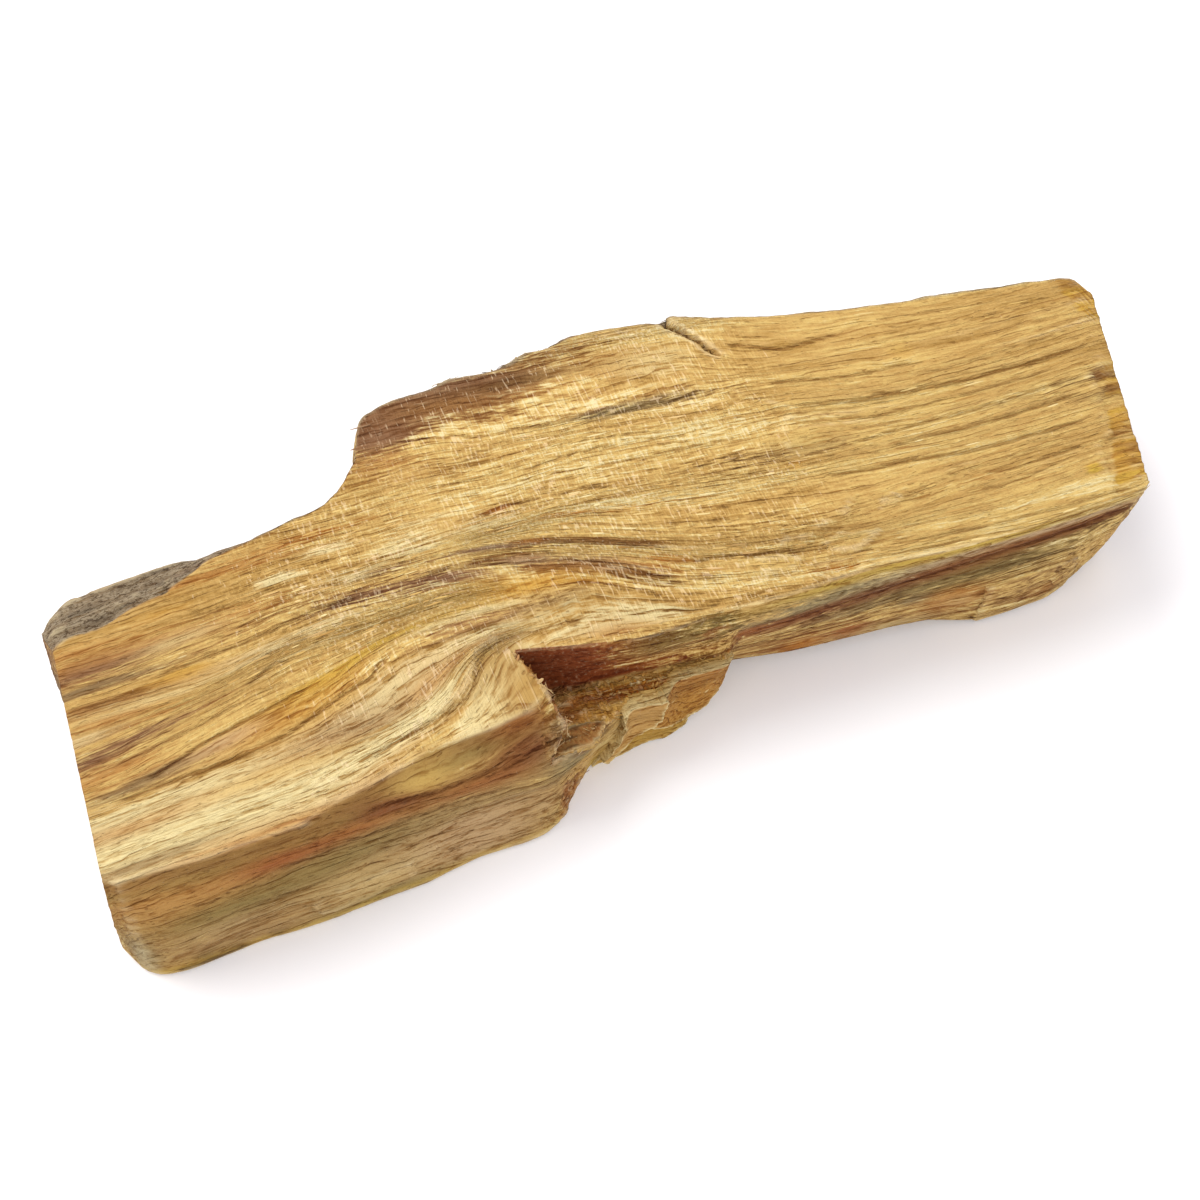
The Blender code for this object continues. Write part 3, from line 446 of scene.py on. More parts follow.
# how the lines that were read turn the grain: steps along them, reach along for one across, steepest slope,
# and the weight of the plain slope between them
reading = {"step": 1.5, "longer": 1.8, "steepest": 1.6, "plain": 0.25}


# a table of the grain's lines over a plane: the lines that were read give its slope near them
def grainTable(lines, plainSlope, xs, ys, reach, fromRight=False):
    gridX, gridY = np.meshgrid(xs, ys, indexing="ij")
    base = plainSlope(gridX)
    total, weight = base * reading["plain"], np.full_like(gridX, reading["plain"])
    for _, _, line in lines:
        for (ax, ay), (bx, by) in zip(line[:-1], line[1:]):
            steps = max(1, int(np.hypot(bx - ax, by - ay) / reading["step"]))
            slope = np.clip((by - ay) / max(bx - ax, 0.3), -reading["steepest"], reading["steepest"])
            for t in (np.arange(steps) + 0.5) / steps:
                offX = (gridX - ax - t * (bx - ax)) / (reading["longer"] * reach)
                offY = (gridY - ay - t * (by - ay)) / reach
                near = np.exp(-offX ** 2 - offY ** 2)
                total += near * slope
                weight += near
    slope = total / weight
    table = np.empty_like(gridX)
    step = xs[1] - xs[0]
    if fromRight:
        table[-1] = ys
        for i in range(len(xs) - 2, -1, -1):
            table[i] = np.interp(ys + slope[i] * step, ys, table[i + 1])
        return table
    table[0] = ys
    for i in range(1, len(xs)):
        table[i] = np.interp(ys - slope[i] * step, ys, table[i - 1])
    return table


def tableAt(table, xs, ys, x, y):
    i = np.clip((x - xs[0]) / (xs[1] - xs[0]), 0, len(xs) - 1.001)
    j = np.clip((y - ys[0]) / (ys[1] - ys[0]), 0, len(ys) - 1.001)
    a, b = i.astype(int), j.astype(int)
    s, t = i - a, j - b
    low = table[a, b] * (1 - t) + table[a, b + 1] * t
    high = table[a + 1, b] * (1 - t) + table[a + 1, b + 1] * t
    return low * (1 - s) + high * s


# the slope of the grain on the top where no line was read: it turns as the stick does
def turnRight(x):
    return -0.16 / (1 + np.exp(-(x + 18) / 7))


grainX, grainY, grainZ = np.arange(-56, 60, 0.25), np.arange(-22, 30, 0.25), np.arange(-4, 20, 0.25)
topGrain = grainTable(topGrooves, turnRight, grainX, grainY, 2.0)
topGrainRight = grainTable(topGrooves, turnRight, grainX, grainY, 2.0, fromRight=True)
frontGrain = grainTable(frontGrooves, lambda x: 0.03 * np.sin(x / 12.0), grainX, grainZ, 1.4)


def rightShareAt(x, y):
    lean, low, high = stick["grainSides"]
    return smooth(x + lean * y, low, high)


# place along, across and through the grain for each point, and the share of the right end's grain:
# the lines fan out at the notch, so each side of it has its own
def grainPlace(points):
    x, y, z = points.T
    through = stick["throughScale"] * tableAt(frontGrain, grainX, grainZ, x, z)
    left = np.column_stack([x, tableAt(topGrain, grainX, grainY, x, y), through])
    acrossRight = tableAt(topGrainRight, grainX, grainY, x, y)
    right = np.column_stack([x + stick["grainApart"], acrossRight, through])
    return left, right, rightShareAt(x, y)


def fromBoth(grain, measure):
    left, right, share = grain
    return measure(left) * (1 - share) + measure(right) * share


def noiseBoth(grain, *settings):
    return fromBoth(grain, lambda place: grainNoise(place, *settings))


# which way the fibres run, in the surface
def fibreAlong(points, normals):
    x, y, z = points.T
    slopes = []
    for table, axis, across in ((topGrain, grainY, y), (topGrainRight, grainY, y), (frontGrain, grainZ, z)):
        alongX, alongA = np.gradient(table, grainX, axis)
        slopes.append(np.clip(-tableAt(alongX, grainX, axis, x, across)
                              / np.maximum(tableAt(alongA, grainX, axis, x, across), 0.1), -2, 2))
    share = rightShareAt(x, y)
    along = np.column_stack([np.ones_like(x), slopes[0] * (1 - share) + slopes[1] * share, slopes[2]])
    along -= normals * (along * normals).sum(axis=1, keepdims=True)
    return along / np.maximum(np.linalg.norm(along, axis=1, keepdims=True), 1e-6)


def groovesAt(a, b, grooves, wander):
    deep, dark = np.zeros_like(a), np.zeros_like(a)
    for depth, half, line in grooves:
        near = np.array(line)
        pick = (a > near[:, 0].min() - 1) & (a < near[:, 0].max() + 1)
        pick &= (b > near[:, 1].min() - 2) & (b < near[:, 1].max() + 2)
        away, _, done = toLine(a[pick], b[pick] + wander[pick], line)
        ends = smooth(done, 0, 0.12) * smooth(1 - done, 0, 0.12)
        deep[pick] = np.maximum(deep[pick], depth * ends * np.exp(-(away / half) ** 2))
        dark[pick] = np.maximum(dark[pick], min(1, depth / 0.22) * ends
                                * np.exp(-(away / (half * 1.25)) ** 2))
    return deep, dark


def lumpsAt(rows, a, b):
    total = np.zeros_like(a)
    for *place, height in rows:
        total += height * spotAt(a, b, *place)
    return total


# masks of the kinds of surface, from where a point is and which way it faces
def facesOf(points, normals):
    x, y, z = points.T
    nx, ny, nz = normals.T
    faces = {"top": smooth(nz, 0.3, 0.7) * smooth(z, 12.2, 13.6), "front": smooth(-ny, 0.25, 0.65),
             "back": smooth(ny, 0.25, 0.6), "under": smooth(-nz, 0.4, 0.8)}
    inNotch = smooth(x, -11.2, -10.2) * smooth(-x, -10.0, -8.0)
    faces["ledge"] = inNotch * smooth(nz, 0.25, 0.6) * (1 - faces["top"]) * smooth(z, 4.5, 6.5)
    faces["wall"] = inNotch * smooth(-ny, 0.3, 0.6) * smooth(z, 8.0, 8.8) * smooth(y, -10.6, -9.8)
    faces["broken"] = (smooth(nx, 0.35, 0.7) * smooth(x, -12.0, -11.0) * smooth(-x, 6.0, 8.0)
                       * smooth(-y, 5.0, 6.0))
    return faces


# the layers of growth stand out as ridges: their height and the dark line between two
def layersAt(x, across, count, seed):
    place = np.column_stack([x, across, np.zeros_like(x)])
    phase = (across * count + 0.9 * grainNoise(place, (0.022, 0.20, 1.0), 2, seed)
             + 0.10 * grainNoise(place, (0.35, 0.9, 1.0), 2, seed + 3))
    number, saw = np.floor(phase), phase - np.floor(phase)
    own = 0.5 + 0.5 * grainNoise(np.column_stack([x * 0.05, number * 0.73, number * 0.31]), (1, 1, 1), 2,
                                 seed + 5) * 1.6
    own = np.clip(own, 0.05, 1.2)
    ridge = np.where(saw < 0.75, smooth(saw, -0.1, 0.75), 1 - smooth(saw, 0.75, 0.98)) - 0.5
    return (ridge * own, own * np.exp(-((saw - 0.93) / 0.12) ** 2)
            + own * np.exp(-((saw + 0.07) / 0.12) ** 2))


def reliefAt(points, normals, grain):
    x, y, z = points.T
    faces = facesOf(points, normals)
    ridgeTop, lineTop = fromBoth(grain, lambda place: np.array(
        layersAt(place[:, 0], place[:, 1], relief["layerCount"], 111)))
    ridgeFront, lineFront = layersAt(x, grain[0][:, 2] / stick["throughScale"],
                                     relief["layerCount"] * 0.8, 121)
    zone = 0.55 + 0.45 * smooth(x, 17, 23) - 0.12 * smooth(-x, 12, 20)
    wander = relief["grooveWander"] * grainNoise(points, (0.16, 0.3, 0.3), 3, 11, 0.5)
    ragged = 0.35 * grainNoise(points, (0.9, 0.9, 0.9), 2, 21)
    broad = noiseBoth(grain, (0.030, 0.42, 0.42), 3, 1)
    middle = noiseBoth(grain, (0.060, 1.15, 1.15), 3, 5, 0.6)
    top = (relief["ridge"] * 1.2 * broad + relief["fineRidge"] * 1.5 * middle
           + relief["layerHeight"] * zone * ridgeTop)
    top += lumpsAt(relief["lumps"], x, y)
    for height, reach, line in relief["torn"]:
        away, side, done = toLine(x + ragged * 0.5, y + ragged, line)
        ramp = np.clip(0.5 + side * away / 0.35 / 2, 0, 1)
        ends = np.clip(done / 0.15, 0, 1) * np.clip((1 - done) / 0.15, 0, 1)
        top += height * ramp * np.exp(-np.where(side > 0, away, 0) / reach) * ends
    top += platesAt(x + ragged * 0.6, y + ragged * 0.6, relief["plates"])
    grooveDeep, grooveDark = groovesAt(x, y, topGrooves, wander)
    outerX, outerY, innerX, innerY, lipHeight, lipReach = relief["lip"]
    inwards = np.clip((outerY - y) / (outerY - innerY), 0, 1)
    shaky = 0.12 * grainNoise(points, (1.1, 1.1, 1.1), 2, 23)
    away, side, done = toLine(x + 0.3 * ragged + shaky, y + 0.3 * ragged + shaky, crack["line"])
    past = x - outerX - inwards * (innerX - outerX)
    top += lipHeight * (1 - inwards) * np.where(past > 0, np.exp(-np.clip(past, 0, None) / lipReach), 0)
    # painted shade inside the crack
    crackDark = (np.exp(-(away / (crack["width"] * (1.3 - 0.6 * done))) ** 2)
                 * smooth(1 - done, 0, 0.2) * (y > crack["stopsAt"]))
    height = faces["top"] * (top - 0.6 * grooveDeep - crack["depth"] * crackDark)

    frontDeep, frontDark = groovesAt(x, z, frontGrooves, wander)
    plainFront = faces["front"] * (1 - faces["wall"]) * (1 - faces["ledge"])
    front = (relief["frontRidge"] * (1.1 * broad + 0.8 * middle)
             + platesAt(x + ragged * 0.5, z + ragged * 0.4, relief["layers"], 0.12))
    height += plainFront * (front - 0.7 * frontDeep + 0.6 * relief["layerHeight"] * ridgeFront)
    height += faces["wall"] * 0.10 * middle
    coarse = grainNoise(points, (1.1, 1.4, 1.4), 3, 31, 0.6)
    torn = np.maximum(faces["ledge"], faces["broken"])
    height += torn * relief["crumble"] * (1.4 * coarse
                                          + 1.8 * grainNoise(points, (0.35, 1.6, 1.6), 3, 35, 0.6))
    pitted = grainNoise(points, (0.45, 0.8, 0.8), 4, 41, 0.6)
    back = relief["backRidge"] * (broad + 0.7 * middle) - lumpsAt(relief["backPits"], x, z) + 0.18 * pitted
    height += faces["back"] * back
    facingBack = normals[:, 1] + 0.5 * ragged
    bark = (smooth(-x, 30.5, 35.0) * smooth(y, 8.5, 10.8) * smooth(z, 7.0, 10.0)
            * smooth(facingBack, 0.25, 0.45))
    height -= bark * 0.35 * smooth(pitted, 0.1, 0.7)
    waves = (0.30 * np.sin(0.62 * grain[0][:, 1] + 0.5) * np.sin(x / 8.5 + 0.9)
             + 0.16 * np.sin(1.5 * grain[0][:, 1] + x / 11.0))
    height -= faces["under"] * (np.clip(waves - 0.12 - 0.8 * spotAt(x, y, *relief["middleRest"]), 0, None)
                                + relief["underRidge"] * np.clip(middle + broad, 0, None))
    dark = (faces["top"] * np.maximum(0.75 * grooveDark, 0.62 * zone * lineTop)
            + plainFront * np.maximum(0.8 * frontDark, 0.4 * lineFront))
    return height, faces, dark, faces["top"] * crackDark, bark


def buildStick():
    at = stationsAlong()
    rings = roundEdges(ringsAlong(at), stick["rounding"])
    count, around = rings.shape[:2]
    normals = ringNormals(rings)
    points, facing = rings.reshape(-1, 3), normals.reshape(-1, 3)
    grain = grainPlace(points)
    height, faces, dark, crackDark, bark = reliefAt(points, facing, grain)
    points = points + facing * height[:, None]
    points[:, 2] = np.maximum(points[:, 2], 0)
    moved = points.reshape(count, around, 3)
    normals = ringNormals(moved)
    # how hollow or how sharp the surface is over about a millimetre
    bow = (np.roll(moved, 2, axis=1) + np.roll(moved, -2, axis=1)) / 2 - moved
    bow[2:-2] += (moved[4:] + moved[:-4]) / 2 - moved[2:-2]
    hollow = (bow * normals).sum(axis=-1).reshape(-1)

    index = np.arange(count * around).reshape(count, around)
    nextRound = np.roll(index, -1, axis=1)
    quads = np.stack([index[:-1], nextRound[:-1], nextRound[1:], index[1:]], axis=-1)
    quads = quads.reshape(-1, 4).tolist()
    extra, capFaces = [], []
    for ring, station, outwards in ((0, stick["ends"][0], -1), (count - 1, stick["ends"][1], 1)):
        capFaces += capEnd(points, index[ring], station, outwards, extra)
    ends = np.array(extra).reshape(-1, 3)
    masks = {"dark": dark, "crack": crackDark, "bark": bark, "hollow": hollow, **faces,
             "end": np.zeros(len(points))}
    masks = {name: np.concatenate([values, np.zeros(len(ends))]) for name, values in masks.items()}
    masks["end"][len(points):] = 1
    outwards = np.concatenate([normals.reshape(-1, 3),
                               np.column_stack([np.sign(ends[:, 0]), *np.zeros((2, len(ends)))])])
    return np.concatenate([points, ends]), quads + capFaces, masks, outwards


# triangles inside a rim, over those of the inner points that keep a gap from it
def fillIn(rim, inner, gap):
    away = toLine(*inner.T, rim, closed=True)[0]
    inner = inner[insideOutline(*inner.T, rim) & (away > gap)]
    made = delaunay_2d_cdt([Vector(p) for p in np.concatenate([rim, inner])], [],
                           [list(range(len(rim)))], 1, 1e-6)
    return np.array([tuple(p) for p in made[0]]), [list(face) for face in made[2]], made[3]


# closes an end with points on its leaning plane, a little rough from the saw
def capEnd(points, ring, station, outwards, extra):
    rim = points[ring][:, 1:]
    low, high = rim.min(axis=0), rim.max(axis=0)
    ys, zs = np.meshgrid(np.arange(low[0], high[0], 0.5), np.arange(low[1], high[1], 0.45))
    inner = np.column_stack([ys.ravel(), zs.ravel()]) + 0.16 * np.column_stack(
        [latticeNoise(np.column_stack([ys.ravel() * 7.1, zs.ravel() * 7.1, np.full(ys.size, k)]), 51)
         for k in (0.0, 5.0)])
    spots, faces, cameFrom = fillIn(rim, inner, 0.22)
    names = []
    first = len(points) + len(extra)
    for spot, sources in zip(spots, cameFrom):
        source = sources[0] if sources else len(rim)
        if source < len(rim):
            names.append(int(ring[source]))
            continue
        y, z = spot
        along = float(leanedAlong(np.array([station]), np.array([y]), np.array([z]))[0])
        saw = (0.035 * np.sin(y * 5.3 + 0.6 * np.sin(z * 0.9))
               + 0.05 * latticeNoise(np.array([[y * 1.7, z * 1.7, 3.0]]), 61)[0])
        names.append(first)
        first += 1
        extra.append((along + outwards * saw, y, z))
    return [[names[i] for i in (face if outwards > 0 else face[::-1])] for face in faces]


points, faces, masks, outwards = buildStick()
grain = grainPlace(points)
print("stick's form:", len(points), "points,", len(faces), "faces")

# what colours the wood: listed long streaks, over a base that drifts along the grain
paint = {
    # along, across, half length, half width, shade, strength
    "top": [
        (-45.0, -9.3, 4.5, 0.55, "orange", 0.75), (-36.0, -9.2, 4.0, 0.8, "gold", 0.6),
        (-29.0, -9.6, 3.5, 0.6, "gold", 0.45), (-43.0, -8.0, 9.0, 0.9, "cream", 0.8),
        (-42.0, -11.2, 11.0, 1.4, "cream", 0.9), (-32.0, -11.6, 10.0, 1.2, "cream", 0.85),
        (-30.0, -11.8, 2.5, 0.6, "cream", 0.8), (-45.6, -12.7, 5.0, 0.35, "greyBrown", 0.55),
        (-46.0, -13.4, 6.0, 0.2, "cream", 0.5), (-19.8, -8.3, 3.0, 0.8, "cream", 0.8),
        (-23.9, -7.1, 5.0, 0.9, "greyTan", 0.55), (-20.8, -5.2, 4.0, 0.7, "cream", 0.5),
        (-44.0, -5.6, 6.0, 0.5, "greyBrown", 0.6), (-35.8, -4.5, 3.0, 0.35, "palePink", 0.6),
        (-46.7, -3.9, 5.0, 0.7, "orangeTan", 0.5), (-45.1, -1.7, 7.0, 1.0, "mauve", 0.55),
        (-28.0, -3.4, 7.0, 0.9, "gold", 0.5), (-48.0, 0.1, 3.0, 0.5, "cream", 0.6),
        (-44.0, 1.1, 6.0, 0.6, "orangeTan", 0.5), (-38.3, 3.0, 3.0, 0.55, "gold", 0.75),
        (-41.0, 1.6, 6.0, 0.4, "pale", 0.5), (-45.8, 2.8, 6.0, 0.5, "brown", 0.55),
        (-46.4, 4.6, 8.0, 0.5, "greyBrown", 0.6), (-45.8, 6.4, 8.0, 0.9, "mauve", 0.5),
        (-37.0, 6.3, 3.0, 0.6, "pale", 0.5), (-45.0, 8.6, 5.0, 0.6, "orangeTan", 0.5),
        (-27.3, 8.9, 2.2, 0.5, "cream", 0.7), (-22.6, 10.2, 2.0, 0.45, "cream", 0.6),
        (-21.4, 6.5, 2.5, 0.8, "cream", 0.5), (-27.0, 5.6, 6.0, 0.8, "brown", 0.35),
        (-28.3, 2.7, 6.5, 0.8, "cream", 0.5), (-20.8, -0.6, 8.0, 0.5, "yellow", 0.6),
        (-24.0, 1.4, 7.0, 0.35, "cream", 0.5), (-21.0, 4.3, 5.0, 0.7, "mauve", 0.5),
        (-29.0, 11.6, 7.0, 0.9, "orangeTan", 0.4), (-38.0, 9.6, 4.0, 0.7, "gold", 0.35),
        (-10.3, 14.1, 6.0, 1.0, "tan", 0.5), (-15.2, 7.9, 3.0, 1.1, "cream", 0.6),
        (-9.5, 7.4, 4.0, 0.8, "cream", 0.4), (-13.0, 9.8, 4.0, 0.5, "cream", 0.5),
        (-6.8, 8.3, 1.4, 0.25, "orange", 0.6), (-18.0, 6.0, 2.5, 0.8, "brown", 0.4),
        (-9.0, 4.8, 5.0, 0.9, "mauve", 0.7), (-13.5, 3.2, 5.5, 0.8, "mauve", 0.7),
        (-7.7, 3.4, 4.0, 0.7, "brown", 0.6), (-5.3, 4.2, 1.4, 0.6, "orange", 0.6),
        (-6.1, 2.5, 2.0, 0.5, "palePink", 0.6), (-0.8, 2.6, 4.0, 0.8, "brown", 0.6),
        (2.6, 0.5, 3.5, 0.8, "brown", 0.65), (-0.6, 0.3, 3.0, 1.0, "greyTan", 0.55),
        (-3.0, 0.2, 4.0, 0.7, "brown", 0.5), (1.0, -1.6, 3.5, 0.7, "brown", 0.55),
        (3.4, -4.0, 3.0, 0.5, "darkBrown", 0.4), (5.8, -2.5, 2.0, 0.6, "orange", 0.5),
        (8.4, -5.6, 1.6, 0.5, "darkBrown", 0.4), (-7.1, 0.2, 7.0, 0.45, "gold", 0.6),
        (-13.5, -0.8, 5.0, 0.4, "cream", 0.6), (-14.0, -1.8, 5.0, 0.5, "mauve", 0.45),
        (-13.5, -3.6, 4.0, 0.5, "cream", 0.5), (-10.4, -4.6, 1.5, 0.4, "rust", 0.6),
        (-15.2, -10.8, 2.6, 0.5, "cream", 0.8), (-12.4, -8.0, 2.4, 2.2, "ochre", 0.8),
        (-13.6, -9.4, 1.6, 0.6, "cream", 0.6), (-11.6, -6.6, 1.4, 0.9, "ochre", 0.6),
        (-18.0, -5.9, 3.0, 0.7, "orangeTan", 0.5), (-5.0, -5.6, 5.0, 0.6, "cream", 0.45),
        (-1.3, -7.5, 3.0, 0.5, "orangeTan", 0.55), (2.0, -6.5, 3.0, 0.6, "cream", 0.45),
        (14.8, -6.4, 3.0, 0.8, "straw", 0.6), (9.0, 14.0, 7.0, 0.6, "greyOlive", 0.5),
        (-13.5, 21.4, 4.0, 1.5, "mauve", 0.85), (-5.0, 22.3, 6.0, 1.2, "mauve", 0.85),
        (3.0, 22.4, 4.0, 1.0, "brown", 0.65), (-14.4, 19.4, 2.6, 1.2, "mauve", 0.6),
        (-6.0, 20.6, 6.0, 0.8, "brown", 0.6), (-1.0, 21.0, 4.0, 0.35, "darkBrown", 0.6),
        (-15.0, 17.2, 3.0, 1.2, "orangeTan", 0.5), (9.0, 19.5, 5.0, 1.2, "tan", 0.5),
        (11.5, 22.4, 4.0, 0.4, "pale", 0.6), (13.0, 17.6, 3.0, 1.0, "pale", 0.5),
        (21.7, 4.7, 3.0, 0.8, "straw", 0.55), (35.4, 3.6, 3.0, 0.4, "straw", 0.6),
        (20.1, 2.4, 1.0, 0.5, "gold", 0.6), (30.2, 0.6, 1.4, 0.7, "orange", 0.35),
        (35.0, 10.6, 1.4, 1.0, "paleGold", 0.4), (36.1, -5.3, 2.0, 0.6, "orangeTan", 0.5),
        (22.8, -6.9, 1.9, 0.6, "straw", 0.7), (25.6, -8.0, 2.2, 0.7, "ochre", 0.6),
        (19.2, -9.0, 2.2, 0.5, "orange", 0.7), (27.2, -4.2, 1.4, 0.35, "straw", 0.6),
        (31.0, -8.2, 5.0, 0.5, "greyTan", 0.3), (51.1, 0.8, 0.9, 0.6, "brown", 0.7),
        (49.2, -1.6, 0.6, 0.3, "straw", 0.6), (45.4, -8.5, 0.8, 0.5, "yellow", 0.7),
    ],
    # along, height, half length, half height, shade, strength
    "front": [
        (-35.5, 11.3, 4.2, 0.8, "brick", 0.85), (-28.5, 10.8, 4.5, 0.55, "rust", 0.6),
        (-24.8, 11.5, 3.6, 0.65, "maroon", 0.9), (-47.5, 10.0, 3.0, 2.0, "orangeTan", 0.55),
        (-41.5, 9.8, 4.0, 0.8, "orangeTan", 0.5), (-30.0, 8.0, 13.0, 1.0, "olive", 0.5),
        (-40.0, 6.9, 6.0, 0.9, "olive", 0.5), (-17.0, 8.9, 5.0, 0.7, "rust", 0.65),
        (-12.4, 10.6, 2.6, 0.7, "maroon", 0.7), (-12.4, 13.7, 2.2, 0.6, "rust", 0.7),
        (-22.0, 12.8, 2.6, 0.6, "paleGold", 0.65), (-18.0, 3.8, 7.5, 2.4, "palePink", 0.45),
        (-29.2, 3.1, 4.6, 1.1, "pale", 0.5), (-28.0, 0.9, 5.5, 0.6, "olive", 0.6),
        (-43.9, 1.2, 0.9, 0.5, "umber", 0.8), (-41.6, 0.9, 0.8, 0.4, "umber", 0.7),
        (-37.5, 0.6, 0.7, 0.4, "umber", 0.7), (-42.6, 0.5, 0.6, 0.3, "umber", 0.7),
        (-40.0, 3.4, 7.0, 1.5, "greyTan", 0.5), (-49.0, 3.0, 0.9, 1.6, "greyOlive", 0.7),
        (-45.0, 0.6, 3.0, 0.6, "yellow", 0.35), (38.0, 13.2, 14.0, 0.45, "palePink", 0.7),
        (18.0, 12.4, 9.0, 0.8, "greyOlive", 0.6), (30.0, 14.4, 20.0, 0.35, "yellow", 0.55),
        (40.0, 12.1, 8.0, 0.35, "maroon", 0.8), (30.0, 11.3, 7.0, 0.4, "maroon", 0.85),
        (19.0, 10.4, 7.0, 0.4, "maroon", 0.75), (9.0, 9.9, 6.0, 0.5, "rust", 0.6),
        (34.0, 9.4, 12.0, 0.9, "olive", 0.45), (27.0, 7.0, 1.4, 0.6, "greyOlive", 0.6),
        (31.0, 6.2, 2.6, 1.0, "orange", 0.75), (31.2, 5.6, 1.6, 0.5, "pale", 0.5),
        (38.5, 3.8, 5.0, 2.8, "brown", 0.35), (16.0, 4.6, 8.0, 2.4, "rust", 0.35),
        (16.5, 2.9, 1.6, 0.7, "orange", 0.7), (21.0, 3.6, 1.4, 0.9, "rust", 0.75),
        (24.0, 2.6, 4.0, 0.6, "pale", 0.4), (-0.5, 6.4, 3.0, 1.8, "tan", 0.7),
        (-3.5, 4.6, 2.0, 0.6, "pale", 0.5), (5.6, 6.6, 3.4, 1.2, "brown", 0.6),
        (5.0, 3.6, 3.2, 1.6, "gold", 0.6), (-1.5, 1.0, 6.0, 1.2, "yellow", 0.55),
        (-8.0, 9.3, 2.4, 1.4, "greyOlive", 0.75), (-9.5, 11.0, 1.8, 0.4, "maroon", 0.7),
        (-6.5, 8.6, 1.6, 0.35, "maroon", 0.6),
    ],
    "ramp": ["darkOchre", "ochre", "tan", "straw", "cream"],
    "level": 0.54, "drift": 0.26, "fine": 0.24,  # how pale the wood is, and how much it wanders
    "dim": 0.725,  # the light on the top is over one
    # middle along and across, half length and half width
    "wedge": (-13.5, -9.0, 4.5, 3.0), "ledgeRust": (-7.0, -10.2, 3.0, 1.3),
    "ledgeGrey": (-8.6, -13.4, 2.4, 1.2), "quiet": (-14.0, -8.0, 7.0, 3.5),
}


def streaksAt(a, grain, rows, column, grit):
    layers = []
    for midA, midB, halfA, halfB, shade, strength in rows:
        middle = np.array([[midA, midB, 15.0] if column == 1 else [midA, -14.0, midB]])
        left, right, share = grainPlace(middle)
        side, home = (grain[1], right) if share[0] > 0.5 else (grain[0], left)
        away = ((a - midA) / halfA) ** 2 + ((side[:, column] - home[0, column]) / halfB) ** 2
        layers.append((shade, strength * np.exp(-away * 0.7) * np.clip(1 + 0.6 * grit, 0, 1.4)))
    return layers


def layOver(stain, cover, shade, amount):
    amount = np.clip(amount, 0, 1)
    total = amount + cover * (1 - amount)
    share = (amount / np.maximum(total, 1e-6))[:, None]
    return stain * (1 - share) + toLinear(shades[shade]) * share, total


